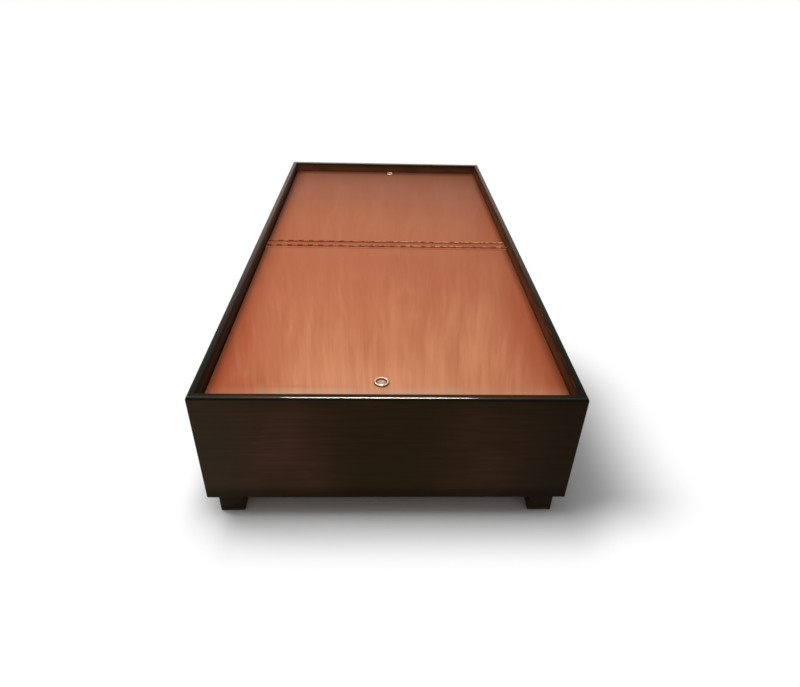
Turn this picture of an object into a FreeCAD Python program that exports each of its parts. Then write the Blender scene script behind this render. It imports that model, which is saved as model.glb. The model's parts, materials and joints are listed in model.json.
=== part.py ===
import FreeCAD, Part
import math
import os
import Sketcher

# Storage divan: a dark boarded box on four block feet, with a mattress recess over two hinged ply lids.
# Frame: origin on the floor under the middle of the box, X across, Y from the front end to the back
# end, Z up. Millimetres.

os.makedirs("parts", exist_ok=True)
doc = FreeCAD.newDocument("storage_divan")

# Driving dimensions
SIZE_TABLE = [
    # box and its boards
    ("recess_width", 914, "mattress recess across"),
    ("recess_length", 1905, "mattress recess lengthwise"),
    ("board_thickness", 19, "side and end boards"),
    ("board_height", 335, "board from its lower to its upper edge"),
    ("nosing_round", 8, "outer upper edge of the boards"),
    ("inner_round", 4, "inner upper edge of the boards"),
    ("lower_round", 2, "outer lower edge of the boards"),
    ("corner_round", 3, "upright outer corners of the box"),
    # feet
    ("foot_height", 75, "floor to the boards"),
    ("foot_side", 65, "square section"),
    ("foot_inset", 22, "outer face of the boards to the foot"),
    ("foot_round", 3, "upright edges of a foot"),
    ("foot_chamfer", 2, "edge that meets the floor"),
    # lids and the strip between them
    ("lid_drop", 42, "upper edge of the boards down to the lids"),
    ("lid_thickness", 18, "ply of the lids and the strip"),
    ("lid_gap", 3, "lid to board"),
    ("lid_round", 1, "upper edges of a lid"),
    ("strip_width", 38, "fixed strip between the two lids"),
    ("strip_offset", 19, "middle of the strip past the middle of the box"),
    ("joint_gap", 2, "lid to strip, under the hinge pin"),
    # framing inside the box
    ("ledger_side", 30, "square ledgers that carry the lids"),
    ("post_side", 50, "square corner posts"),
    ("cleat_width", 30, "cleats under the bottom panel"),
    ("cleat_height", 22, "cleats and bearers under the bottom panel"),
    ("bearer_width", 70, "cross bearers under the bottom panel"),
    ("panel_thickness", 12, "bottom panel"),
    ("panel_gap", 1, "bottom panel to boards and posts"),
    ("partition_thickness", 18, "partition under the strip"),
    ("upright_side", 30, "uprights that hold the partition's ends"),
    ("rail_width", 90, "centre rail under the strip"),
    # strip hinges
    ("leaf_thickness", 1, "hinge leaf"),
    ("leaf_width", 18, "pin line to the leaf's free edge"),
    ("pin_diameter", 3.9, "hinge pin"),
    ("pin_clearance", 0.05, "pin to knuckle, on the radius"),
    ("knuckle_count", 47, "knuckles along one hinge"),
    ("knuckle_gap", 0.5, "between neighbouring knuckles"),
    ("slot_clearance", 1.0, "leaf cut back round the other leaf's knuckles"),
    # ring pulls
    ("pull_plate_diameter", 40, "round plate under the ring"),
    ("pull_plate_thickness", 1.5, "round plate"),
    ("ring_diameter", 36, "ring over all"),
    ("ring_wire", 3.5, "ring's wire"),
    ("ring_gap", 0.3, "ring to its plate"),
    ("eye_width", 7, "eye that holds the ring"),
    ("eye_clearance", 0.4, "ring's wire to the eye's bore, on the radius"),
    ("eye_wall", 1.4, "metal round the eye's bore"),
    ("front_pull_setback", 98, "inner face of the front board to the ring's middle"),
    ("front_pull_side", 19, "ring's middle left of the middle line"),
    ("back_pull_setback", 36, "inner face of the back board to the ring's middle"),
    ("back_pull_side", 20, "ring's middle right of the middle line"),
    ("pull_screw_spacing", 14, "the two screws inside a ring"),
    # wood screws
    ("screw_diameter", 4, "framing screws"),
    ("screw_head", 8, "framing screws, countersunk head"),
    ("screw_length", 40, "framing screws"),
    ("long_screw_length", 60, "screws through the corner posts"),
    ("panel_screw_length", 28, "screws through the bottom panel"),
    ("small_screw_diameter", 2.6, "hinge and pull screws"),
    ("small_screw_head", 5.2, "hinge and pull screws, countersunk head"),
    ("small_screw_length", 13, "hinge and pull screws"),
    ("screw_clearance", 0.06, "screw to its hole"),
    ("screw_margin", 95, "end of a row to its first screw"),
    ("side_screw_count", 8, "screws in a row along a side"),
    ("end_screw_count", 4, "screws in a row along an end"),
    ("hinge_screw_count", 8, "screws in one hinge leaf"),
    ("post_screw_count", 3, "screws up one face of a corner post"),
    ("upright_screw_count", 3, "screws up an upright"),
    ("partition_screw_count", 2, "screws from the partition into one upright"),
    # foot bolts
    ("bolt_diameter", 8, "bolt through a foot"),
    ("bolt_length", 90, "under its head"),
    ("bolt_head_flats", 13, "across the flats"),
    ("bolt_head_height", 5.3, "hexagon head"),
    ("bolt_clearance", 0.1, "bolt to its hole, on the radius"),
    ("washer_diameter", 24, "washer under the head"),
    ("washer_thickness", 2, "washer under the head"),
    ("counterbore_diameter", 27, "recess for the bolt's head"),
    ("counterbore_depth", 20, "recess for the bolt's head"),
    # cutting
    ("overrun", 5, "cutting shapes run past the wood by this"),
]

sheet = doc.addObject("Spreadsheet::Sheet", "Sizes")
for row, (alias, value, note) in enumerate(SIZE_TABLE, start=1):
    sheet.set(f"A{row}", note)
    sheet.set(f"B{row}", str(value))
    sheet.setAlias(f"B{row}", alias)
doc.recompute()

# Lengths and places that follow from the driving dimensions, as expressions on the sheet
HALF_WIDTH = "(Sizes.recess_width / 2 + Sizes.board_thickness)"
HALF_LENGTH = "(Sizes.recess_length / 2 + Sizes.board_thickness)"
INNER_X = "(Sizes.recess_width / 2)"
INNER_Y = "(Sizes.recess_length / 2)"
LID_TOP = "(Sizes.foot_height + Sizes.board_height - Sizes.lid_drop)"
LID_UNDER = f"({LID_TOP} - Sizes.lid_thickness)"
LEDGER_UNDER = f"({LID_UNDER} - Sizes.ledger_side)"
PANEL_UNDER = "(Sizes.foot_height + Sizes.cleat_height)"
PANEL_TOP = f"({PANEL_UNDER} + Sizes.panel_thickness)"
STRIP_FRONT = "(Sizes.strip_offset - Sizes.strip_width / 2)"
STRIP_BACK = "(Sizes.strip_offset + Sizes.strip_width / 2)"
FRONT_PIN_Y = f"({STRIP_FRONT} - Sizes.joint_gap / 2)"
BACK_PIN_Y = f"({STRIP_BACK} + Sizes.joint_gap / 2)"
KNUCKLE_RADIUS = "(Sizes.pin_diameter / 2 + Sizes.pin_clearance + Sizes.leaf_thickness)"
KNUCKLE_BORE = "(Sizes.pin_diameter / 2 + Sizes.pin_clearance)"
PIN_Z = f"({LID_TOP} + {KNUCKLE_RADIUS})"
LID_HALF = f"({INNER_X} - Sizes.lid_gap)"
HINGE_LENGTH = f"(2 * {LID_HALF})"
KNUCKLE_PITCH = f"({HINGE_LENGTH} / Sizes.knuckle_count)"
FRONT_LID_LENGTH = f"({INNER_Y} - Sizes.lid_gap + {STRIP_FRONT} - Sizes.joint_gap)"
BACK_LID_LENGTH = f"({INNER_Y} - Sizes.lid_gap - {STRIP_BACK} - Sizes.joint_gap)"
PARTITION_FRONT = "(Sizes.strip_offset - Sizes.partition_thickness / 2)"
PARTITION_BACK = "(Sizes.strip_offset + Sizes.partition_thickness / 2)"
RING_RADIUS = "(Sizes.ring_diameter / 2 - Sizes.ring_wire / 2)"
RING_Z = "(Sizes.pull_plate_thickness + Sizes.ring_gap + Sizes.ring_wire / 2)"
# the ring's wire bows off the eye's straight bore by this over the eye's width
RING_BOW = f"({RING_RADIUS} - sqrt({RING_RADIUS} * {RING_RADIUS} - Sizes.eye_width * Sizes.eye_width / 4))"
EYE_BORE = f"(Sizes.ring_wire / 2 + {RING_BOW} / 2 + Sizes.eye_clearance)"
EYE_RADIUS = f"({EYE_BORE} + Sizes.eye_wall)"
FOOT_CENTRE_X = f"({HALF_WIDTH} - Sizes.foot_inset - Sizes.foot_side / 2)"
FOOT_CENTRE_Y = f"({HALF_LENGTH} - Sizes.foot_inset - Sizes.foot_side / 2)"

# Screw kinds: shank, head and length
FRAMING = ("Sizes.screw_diameter", "Sizes.screw_head", "Sizes.screw_length")
LONG = ("Sizes.screw_diameter", "Sizes.screw_head", "Sizes.long_screw_length")
SHORT = ("Sizes.screw_diameter", "Sizes.screw_head", "Sizes.panel_screw_length")
SMALL = ("Sizes.small_screw_diameter", "Sizes.small_screw_head", "Sizes.small_screw_length")
POINT_SHARE = "0.1"

SUBPARTS = []
UP = FreeCAD.Vector(0, 0, 1)
RIGHT = FreeCAD.Vector(1, 0, 0)
LEFT = FreeCAD.Vector(-1, 0, 0)
BACKWARD = FreeCAD.Vector(0, 1, 0)
FORWARD = FreeCAD.Vector(0, -1, 0)


def value_of(expression):
    """The present value of an expression, for a sketch's first guess and for choosing edges."""
    return float(sheet.evalExpression(expression))


def minus(expression):
    return f"(0 - {expression})"


def place(part, x="0", y="0", z="0", rotation=None):
    """Bind a part's place to expressions."""
    if rotation is not None:
        part.Placement = FreeCAD.Placement(FreeCAD.Vector(), rotation)
    for axis, expression in zip("xyz", (x, y, z)):
        part.setExpression(f"Placement.Base.{axis}", expression)
    return part


def keep(part, name):
    """Name a finished sub-part."""
    part.Label = name
    SUBPARTS.append(part)
    return part


def new_body(name):
    return doc.addObject("PartDesign::Body", f"{name}_body")


def origin_item(body, role):
    for item in body.Origin.OriginFeatures:
        if item.Role == role:
            return item
    raise RuntimeError(f"{body.Name} has no {role}")


def outline(body, name, plane, points, arcs=None):
    """Closed sketch through points, each a pair of expressions.

    arcs maps the number of a side to (centre x, centre y, which of the two is held, anticlockwise).
    """
    arcs = arcs or {}
    sketch = body.newObject("Sketcher::SketchObject", name)
    sketch.AttachmentSupport = (origin_item(body, plane), [""])
    sketch.MapMode = "FlatFace"
    spots = [FreeCAD.Vector(value_of(x), value_of(y), 0) for x, y in points]
    for side, start in enumerate(spots):
        end = spots[(side + 1) % len(spots)]
        if side not in arcs:
            sketch.addGeometry(Part.LineSegment(start, end))
            continue
        centre_x, centre_y, held, anticlockwise = arcs[side]
        centre = FreeCAD.Vector(value_of(centre_x), value_of(centre_y), 0)
        first, last = (start, end) if anticlockwise else (end, start)
        turns = [math.atan2(spot.y - centre.y, spot.x - centre.x) for spot in (first, last)]
        if turns[1] < turns[0]:
            turns[1] += 2 * math.pi
        circle = Part.Circle(centre, UP, (start - centre).Length)
        sketch.addGeometry(Part.ArcOfCircle(circle, *turns))

    def ends(side):
        turned = side in arcs and not arcs[side][3]
        return (2, 1) if turned else (1, 2)

    for side in range(len(spots)):
        after = (side + 1) % len(spots)
        sketch.addConstraint(Sketcher.Constraint("Coincident", side, ends(side)[1], after, ends(after)[0]))
    for side, (x, y) in enumerate(points):
        hold(sketch, "DistanceX", side, ends(side)[0], x)
        hold(sketch, "DistanceY", side, ends(side)[0], y)
    for side, (centre_x, centre_y, held, _) in arcs.items():
        if held == "x":
            hold(sketch, "DistanceX", side, 3, centre_x)
        else:
            hold(sketch, "DistanceY", side, 3, centre_y)
    return sketch


def hold(sketch, kind, geometry, point, expression):
    """Hold a sketch point at a distance from the sketch's origin."""
    value = value_of(expression)
    index = sketch.addConstraint(Sketcher.Constraint(kind, -1, 1, geometry, point, value))
    sketch.setExpression(f"Constraints[{index}]", expression)


def ring_sketch(body, name, plane, x, y, radius):
    """One circle, its centre and radius bound to expressions."""
    sketch = body.newObject("Sketcher::SketchObject", name)
    sketch.AttachmentSupport = (origin_item(body, plane), [""])
    sketch.MapMode = "FlatFace"
    centre = FreeCAD.Vector(value_of(x), value_of(y), 0)
    sketch.addGeometry(Part.Circle(centre, UP, value_of(radius)))
    hold(sketch, "DistanceX", 0, 3, x)
    hold(sketch, "DistanceY", 0, 3, y)
    index = sketch.addConstraint(Sketcher.Constraint("Radius", 0, value_of(radius)))
    sketch.setExpression(f"Constraints[{index}]", radius)
    return sketch


def rectangle(body, name, plane, x_low, x_high, y_low, y_high):
    corners = [(x_low, y_low), (x_high, y_low), (x_high, y_high), (x_low, y_high)]
    return outline(body, name, plane, corners)


def pad(body, sketch, length):
    feature = body.newObject("PartDesign::Pad", f"{sketch.Name}_pad")
    feature.Profile = sketch
    feature.setExpression("Length", length)
    return feature


def pocket_through(body, sketch):
    """Cut a sketch's outline right through, both ways from its plane, and check that it cuts."""
    doc.recompute()
    before = body.Shape.Volume
    feature = body.newObject("PartDesign::Pocket", f"{sketch.Name}_pocket")
    feature.Profile = sketch
    feature.Midplane = True
    feature.Type = "ThroughAll"
    doc.recompute()
    if body.Shape.Volume >= before:
        raise RuntimeError(f"{feature.Name} cuts nothing")
    return feature


def repeat(body, feature, axis, extent, count):
    """Repeat a feature along one of the body's axes; extent is first to last."""
    pattern = body.newObject("PartDesign::LinearPattern", f"{feature.Name}_row")
    pattern.Originals = [feature]
    pattern.Direction = (origin_item(body, axis), [""])
    pattern.Mode = "Extent"
    pattern.setExpression("Length", extent)
    pattern.setExpression("Occurrences", count)
    body.Tip = pattern
    return pattern


def round_edges(body, base, radius, chosen):
    """Round the edges of the base feature for which chosen(edge) holds."""
    doc.recompute()
    names = [f"Edge{number}" for number, edge in enumerate(base.Shape.Edges, start=1) if chosen(edge)]
    feature = body.newObject("PartDesign::Fillet", f"{base.Name}_round")
    feature.Base = (base, names)
    feature.setExpression("Radius", radius)
    return feature


def near(value, expression):
    """Whether a measured place is the named one, to less than the smallest clearance."""
    return abs(value - value_of(expression)) < value_of("Sizes.pin_clearance") / 2


def along(edge, axis):
    """Whether a straight edge runs along an axis."""
    start, end = edge.Vertexes[0].Point, edge.Vertexes[-1].Point
    return near((end - start).cross(axis).Length, "0")


def box(name, x_low, x_high, y_low, y_high, z_low, z_high):
    """Part::Box between expressions."""
    part = doc.addObject("Part::Box", name)
    part.setExpression("Length", f"{x_high} - {x_low}")
    part.setExpression("Width", f"{y_high} - {y_low}")
    part.setExpression("Height", f"{z_high} - {z_low}")
    return place(part, x_low, y_low, z_low)


def cylinder(name, radius, height, x="0", y="0", z="0", rotation=None):
    part = doc.addObject("Part::Cylinder", name)
    part.setExpression("Radius", radius)
    part.setExpression("Height", height)
    return place(part, x, y, z, rotation)


def group(name, parts):
    compound = doc.addObject("Part::Compound", name)
    compound.Links = parts
    return compound


def bored(blank, drills, name):
    """The finished sub-part: a blank less its drilled holes."""
    if not drills:
        return keep(blank, name)
    cut = doc.addObject("Part::Cut", f"{name}_bored")
    cut.Base = blank
    cut.Tool = drills[0] if len(drills) == 1 else group(f"{name}_holes", drills)
    return keep(cut, name)


def screw_row(name, kind, facing, run, start, extent, count, clearance=None):
    """A row of countersunk screws, or with a clearance the holes that they go in.

    facing is the way the heads look, run the way the row goes, start the first head's middle.
    """
    shank, head, length = kind
    body = new_body(name)
    spare = clearance or "0"
    shank_radius = f"({shank} / 2 + {spare})"
    head_radius = f"({head} / 2 + {spare})"
    head_foot = f"(0 - ({head} - {shank}) / 2)"
    point_start = f"(0 - {length} * (1 - {POINT_SHARE}) - {spare})"
    tip = f"(0 - {length} - {spare})"
    profile = outline(body, f"{name}_profile", "XZ_Plane", [
        ("0", "0"), (head_radius, "0"), (shank_radius, head_foot), (shank_radius, point_start), ("0", tip)])
    turned = body.newObject("PartDesign::Revolution", f"{name}_turned")
    turned.Profile = profile
    turned.ReferenceAxis = (profile, ["V_Axis"])
    turned.Angle = 360
    body.AllowCompound = True
    if count is not None:
        repeat(body, turned, "X_Axis", extent, count)
    rotation = FreeCAD.Rotation(run, facing.cross(run), facing, "ZXY")
    return place(body, *start, rotation=rotation)


class Row:
    """A row of screws and the hole row that every piece it enters is bored with."""

    def __init__(self, name, kind, facing, run, start, extent=None, count=None):
        self.name = name
        self.spec = (kind, facing, run, start, extent, count)
        self.screws = screw_row(f"{name}_screws", *self.spec)

    def hole(self, piece):
        return screw_row(f"{self.name}_in_{piece}", *self.spec, clearance="Sizes.screw_clearance")


# Screw rows, named by what they fix
SIDES = {"left": (RIGHT, -1), "right": (LEFT, 1)}
ENDS = {"front": (BACKWARD, -1), "back": (FORWARD, 1)}
SIDE_RUN = f"(2 * {INNER_Y} - 2 * Sizes.screw_margin)"
END_RUN = f"(2 * {INNER_X} - 2 * Sizes.screw_margin)"
LEDGER_MID = f"({LID_UNDER} - Sizes.ledger_side / 2)"
CLEAT_MID = "(Sizes.foot_height + Sizes.cleat_height / 2)"
POST_RUN = f"({LEDGER_UNDER} - {PANEL_TOP} - 2 * Sizes.post_side)"
POST_START = f"({PANEL_TOP} + Sizes.post_side)"
PANEL_PITCH = f"({SIDE_RUN} / (Sizes.side_screw_count - 1))"
PANEL_START = minus(f"({INNER_Y} - Sizes.screw_margin - {PANEL_PITCH} / 2)")
BEARERS = {
    "front": minus(f"({INNER_Y} / 2)"),
    "middle": "Sizes.strip_offset",
    "back": f"({INNER_Y} / 2)",
}
HINGE_RUN = f"({HINGE_LENGTH} - 2 * {KNUCKLE_PITCH})"
LEAF_TOP = f"({LID_TOP} + Sizes.leaf_thickness)"
LEAF_MID = "(Sizes.leaf_width / 2 + Sizes.pin_diameter / 2)"


def signed(expression, sign):
    return expression if sign > 0 else minus(expression)


rows = {}
for side, (facing, sign) in SIDES.items():
    ledger_face = signed(f"({INNER_X} - Sizes.ledger_side)", sign)
    cleat_face = signed(f"({INNER_X} - Sizes.cleat_width)", sign)
    upright_face = signed(f"({INNER_X} - Sizes.upright_side)", sign)
    first_y = minus(f"({INNER_Y} - Sizes.screw_margin)")
    rows[f"{side}_ledger"] = Row(f"{side}_ledger", FRAMING, facing, BACKWARD,
                                 (ledger_face, first_y, LEDGER_MID), SIDE_RUN, "Sizes.side_screw_count")
    rows[f"{side}_cleat"] = Row(f"{side}_cleat", FRAMING, facing, BACKWARD,
                                (cleat_face, first_y, CLEAT_MID), SIDE_RUN, "Sizes.side_screw_count")
    rows[f"{side}_upright"] = Row(f"{side}_upright", FRAMING, facing, UP,
                                  (upright_face, f"({PARTITION_BACK} + Sizes.upright_side / 2)", POST_START),
                                  POST_RUN, "Sizes.upright_screw_count")
    # these two rows stand between the screws that they would otherwise meet
    rows[f"{side}_panel"] = Row(f"{side}_panel", SHORT, UP, BACKWARD,
                                (signed(f"({INNER_X} - Sizes.cleat_width / 2)", sign), PANEL_START,
                                 PANEL_TOP),
                                f"({SIDE_RUN} - {PANEL_PITCH})", "Sizes.side_screw_count - 1")
    rows[f"{side}_partition"] = Row(f"{side}_partition", FRAMING, FORWARD, UP,
                                    (signed(f"({INNER_X} - Sizes.upright_side / 2)", sign), PARTITION_FRONT,
                                     f"({POST_START} + {POST_RUN} / 4)"),
                                    f"({POST_RUN} / 2)", "Sizes.partition_screw_count")
for end, (facing, sign) in ENDS.items():
    ledger_face = signed(f"({INNER_Y} - Sizes.ledger_side)", sign)
    cleat_face = signed(f"({INNER_Y} - Sizes.cleat_width)", sign)
    first_x = minus(f"({INNER_X} - Sizes.screw_margin)")
    rows[f"{end}_ledger"] = Row(f"{end}_ledger", FRAMING, facing, RIGHT,
                                (first_x, ledger_face, LEDGER_MID), END_RUN, "Sizes.end_screw_count")
    rows[f"{end}_cleat"] = Row(f"{end}_cleat", FRAMING, facing, RIGHT,
                               (first_x, cleat_face, CLEAT_MID), END_RUN, "Sizes.end_screw_count")
    for side, (side_facing, side_sign) in SIDES.items():
        post = f"{end}_{side}_post"
        post_x = signed(f"({INNER_X} - Sizes.post_side)", side_sign)
        post_y = signed(f"({INNER_Y} - Sizes.post_side / 2)", sign)
        rows[f"{post}_side"] = Row(f"{post}_side", LONG, side_facing, UP,
                                   (post_x, post_y, POST_START), POST_RUN, "Sizes.post_screw_count")
        # the second row stands half a post higher, so the two rows never meet
        end_x = signed(f"({INNER_X} - Sizes.post_side / 2)", side_sign)
        end_y = signed(f"({INNER_Y} - Sizes.post_side)", sign)
        rows[f"{post}_end"] = Row(f"{post}_end", LONG, facing, UP,
                                  (end_x, end_y, f"({POST_START} + Sizes.post_side / 2)"),
                                  POST_RUN, "Sizes.post_screw_count")

for bearer, middle in BEARERS.items():
    start_x = minus(f"({INNER_X} - Sizes.cleat_width - Sizes.screw_margin)")
    # the middle row stands beside the partition, over the front half of its bearer
    row_y = f"({middle} - Sizes.bearer_width / 3)" if bearer == "middle" else middle
    rows[f"{bearer}_bearer"] = Row(f"{bearer}_bearer", SHORT, UP, RIGHT, (start_x, row_y, PANEL_TOP),
                                   f"(2 * ({INNER_X} - Sizes.cleat_width - Sizes.screw_margin))",
                                   "Sizes.end_screw_count")

RAIL_X = minus(f"({INNER_X} - Sizes.ledger_side - Sizes.screw_margin)")
RAIL_RUN = f"(2 * ({INNER_X} - Sizes.ledger_side - Sizes.screw_margin))"
STRIP_SCREW_X = f"({RAIL_X} + {RAIL_RUN} / Sizes.end_screw_count / 2)"
STRIP_SCREW_RUN = f"({RAIL_RUN} - {RAIL_RUN} / Sizes.end_screw_count)"
rows["rail"] = Row("rail", FRAMING, UP, RIGHT, (RAIL_X, "Sizes.strip_offset", LID_UNDER),
                   RAIL_RUN, "Sizes.end_screw_count")
rows["strip"] = Row("strip", FRAMING, UP, RIGHT, (STRIP_SCREW_X, "Sizes.strip_offset", LID_TOP),
                    STRIP_SCREW_RUN, "Sizes.end_screw_count")
hinge_first_x = f"({minus(LID_HALF)} + {KNUCKLE_PITCH})"
for hinge, pin_y, sign in (("front", FRONT_PIN_Y, -1), ("back", BACK_PIN_Y, 1)):
    lid_y = f"({pin_y} + {signed(LEAF_MID, sign)})"
    strip_y = f"({pin_y} + {signed(LEAF_MID, -sign)})"
    rows[f"{hinge}_hinge_lid"] = Row(f"{hinge}_hinge_lid", SMALL, UP, RIGHT,
                                     (hinge_first_x, lid_y, LEAF_TOP), HINGE_RUN, "Sizes.hinge_screw_count")
    rows[f"{hinge}_hinge_strip"] = Row(f"{hinge}_hinge_strip", SMALL, UP, RIGHT,
                                       (hinge_first_x, strip_y, LEAF_TOP), HINGE_RUN,
                                       "Sizes.hinge_screw_count")

PULLS = {
    "front": (minus("Sizes.front_pull_side"), minus(f"({INNER_Y} - Sizes.front_pull_setback)")),
    "back": ("Sizes.back_pull_side", f"({INNER_Y} - Sizes.back_pull_setback)"),
}
PLATE_TOP = f"({LID_TOP} + Sizes.pull_plate_thickness)"
for lid, (pull_x, pull_y) in PULLS.items():
    rows[f"{lid}_pull"] = Row(f"{lid}_pull", SMALL, UP, RIGHT,
                              (f"({pull_x} - Sizes.pull_screw_spacing / 2)", pull_y, PLATE_TOP),
                              "Sizes.pull_screw_spacing", "2")


def mitred_board(name, half_run, half_depth, rotation_turns, holes):
    """A board with mitred ends, drawn as the front one and turned to its side of the box.

    half_run is half of the outside length, half_depth the board's outer face from the box's middle.
    """
    body = new_body(name)
    left_x, right_x = minus(half_run), half_run
    outer_y = minus(half_depth)
    inner_y = f"({outer_y} + Sizes.board_thickness)"
    inner_left = f"({left_x} + Sizes.board_thickness)"
    inner_right = f"({right_x} - Sizes.board_thickness)"
    corner_cut = "(Sizes.corner_round * (1 - sqrt(2) / 2))"
    plan = outline(body, f"{name}_plan", "XY_Plane", [
        (left_x, outer_y), (right_x, outer_y), (inner_right, inner_y), (inner_left, inner_y)])
    blank = pad(body, plan, "Sizes.board_height")
    rounded = round_edges(body, blank, "Sizes.nosing_round",
                          lambda edge: along(edge, RIGHT) and near(edge.BoundBox.ZMin, "Sizes.board_height")
                          and near(edge.BoundBox.YMin, outer_y))
    rounded = round_edges(body, rounded, "Sizes.inner_round",
                          lambda edge: along(edge, RIGHT) and near(edge.BoundBox.ZMin, "Sizes.board_height")
                          and near(edge.BoundBox.YMin, inner_y))
    rounded = round_edges(body, rounded, "Sizes.lower_round",
                          lambda edge: along(edge, RIGHT) and near(edge.BoundBox.ZMax, "0")
                          and near(edge.BoundBox.YMin, outer_y))
    for end, corner_x, sign in (("left", left_x, 1), ("right", right_x, -1)):
        step = signed("Sizes.corner_round", sign)
        cut = signed(corner_cut, sign)
        beyond = signed("Sizes.overrun", -sign)
        waste = outline(body, f"{name}_{end}_corner", "XY_Plane", [
            (f"({corner_x} + {beyond})", f"({outer_y} - Sizes.overrun)"),
            (f"({corner_x} + {step})", f"({outer_y} - Sizes.overrun)"),
            (f"({corner_x} + {step})", outer_y),
            (f"({corner_x} + {cut})", f"({outer_y} + {corner_cut})"),
        ], arcs={2: (f"({corner_x} + {step})", f"({outer_y} + Sizes.corner_round)", "x", sign < 0)})
        pocket_through(body, waste)
    turn = FreeCAD.Rotation(UP, 90 * rotation_turns)
    place(body, z="Sizes.foot_height", rotation=turn)
    return bored(body, holes, name)


def board_holes(board):
    """The screw rows that end in one board."""
    holes = [rows[f"{board}_ledger"].hole(board), rows[f"{board}_cleat"].hole(board)]
    for end in ENDS:
        for side in SIDES:
            if board == side:
                holes.append(rows[f"{end}_{side}_post_side"].hole(board))
            if board == end:
                holes.append(rows[f"{end}_{side}_post_end"].hole(board))
    if board in SIDES:
        holes.append(rows[f"{board}_upright"].hole(board))
    return holes


def make_boards():
    mitred_board("front_board", HALF_WIDTH, HALF_LENGTH, 0, board_holes("front"))
    mitred_board("right_board", HALF_LENGTH, HALF_WIDTH, 1, board_holes("right"))
    mitred_board("back_board", HALF_WIDTH, HALF_LENGTH, 2, board_holes("back"))
    mitred_board("left_board", HALF_LENGTH, HALF_WIDTH, 3, board_holes("left"))


def make_feet():
    """Square block feet, each bolted up into a corner post from a counterbore in its sole."""
    half = "(Sizes.foot_side / 2)"
    bolts, washers = [], []
    for end, (_, end_sign) in ENDS.items():
        for side, (_, side_sign) in SIDES.items():
            name = f"foot_{end}_{side}"
            x, y = signed(FOOT_CENTRE_X, side_sign), signed(FOOT_CENTRE_Y, end_sign)
            body = new_body(name)
            square = rectangle(body, f"{name}_square", "XY_Plane", minus(half), half, minus(half), half)
            block = pad(body, square, "Sizes.foot_height")
            rounded = round_edges(body, block, "Sizes.foot_round", lambda edge: along(edge, UP))
            doc.recompute()
            sole = [f"Edge{number}" for number, edge in enumerate(rounded.Shape.Edges, start=1)
                    if near(edge.BoundBox.ZMax, "0")]
            chamfer = body.newObject("PartDesign::Chamfer", f"{name}_sole_edge")
            chamfer.Base = (rounded, sole)
            chamfer.setExpression("Size", "Sizes.foot_chamfer")
            place(body, x, y)
            recess = cylinder(f"{name}_recess", "Sizes.counterbore_diameter / 2",
                              "Sizes.counterbore_depth + Sizes.overrun", x, y, minus("Sizes.overrun"))
            bore = cylinder(f"{name}_bore", "Sizes.bolt_diameter / 2 + Sizes.bolt_clearance",
                            "Sizes.foot_height + 2 * Sizes.overrun", x, y, minus("Sizes.overrun"))
            bored(body, [recess, bore], name)
            bolts.append(foot_bolt(name, x, y))
            washers.append(foot_washer(name, x, y))
    keep(group("foot_bolt_set", bolts), "foot_bolts")
    keep(group("foot_washer_set", washers), "foot_washers")


def foot_bolt(name, x, y):
    head = doc.addObject("Part::Prism", f"{name}_bolt_head")
    head.Polygon = 6
    head.setExpression("Circumradius", "Sizes.bolt_head_flats / sqrt(3)")
    head.setExpression("Height", "Sizes.bolt_head_height")
    place(head, x, y, "Sizes.counterbore_depth - Sizes.washer_thickness - Sizes.bolt_head_height")
    shank = cylinder(f"{name}_bolt_shank", "Sizes.bolt_diameter / 2", "Sizes.bolt_length", x, y,
                     "Sizes.counterbore_depth - Sizes.washer_thickness")
    bolt = doc.addObject("Part::Fuse", f"{name}_bolt")
    bolt.Base = head
    bolt.Tool = shank
    return bolt


def foot_washer(name, x, y):
    z = "Sizes.counterbore_depth - Sizes.washer_thickness"
    disc = cylinder(f"{name}_washer_disc", "Sizes.washer_diameter / 2", "Sizes.washer_thickness", x, y, z)
    eye = cylinder(f"{name}_washer_eye", "Sizes.bolt_diameter / 2 + Sizes.bolt_clearance",
                   "Sizes.washer_thickness + 2 * Sizes.overrun", x, y, f"{z} - Sizes.overrun")
    washer = doc.addObject("Part::Cut", f"{name}_washer")
    washer.Base = disc
    washer.Tool = eye
    return washer


def span(low, high, sign):
    """A stretch from low to high on the positive side, or its mirror image."""
    return (low, high) if sign > 0 else (minus(high), minus(low))


def make_posts():
    """Square posts in the corners, from the feet up to the ledgers."""
    bolt_top = "Sizes.counterbore_depth - Sizes.washer_thickness + Sizes.bolt_length + Sizes.bolt_clearance"
    for end, (_, end_sign) in ENDS.items():
        for side, (_, side_sign) in SIDES.items():
            name = f"corner_post_{end}_{side}"
            xs = span(f"({INNER_X} - Sizes.post_side)", INNER_X, side_sign)
            ys = span(f"({INNER_Y} - Sizes.post_side)", INNER_Y, end_sign)
            blank = box(f"{name}_blank", *xs, *ys, "Sizes.foot_height", LEDGER_UNDER)
            bore = cylinder(f"{name}_bolt_bore", "Sizes.bolt_diameter / 2 + Sizes.bolt_clearance", bolt_top,
                            signed(FOOT_CENTRE_X, side_sign), signed(FOOT_CENTRE_Y, end_sign))
            post_rows = [rows[f"{end}_{side}_post_{face}"].hole(name) for face in ("side", "end")]
            bored(blank, [bore] + post_rows, name)


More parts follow.
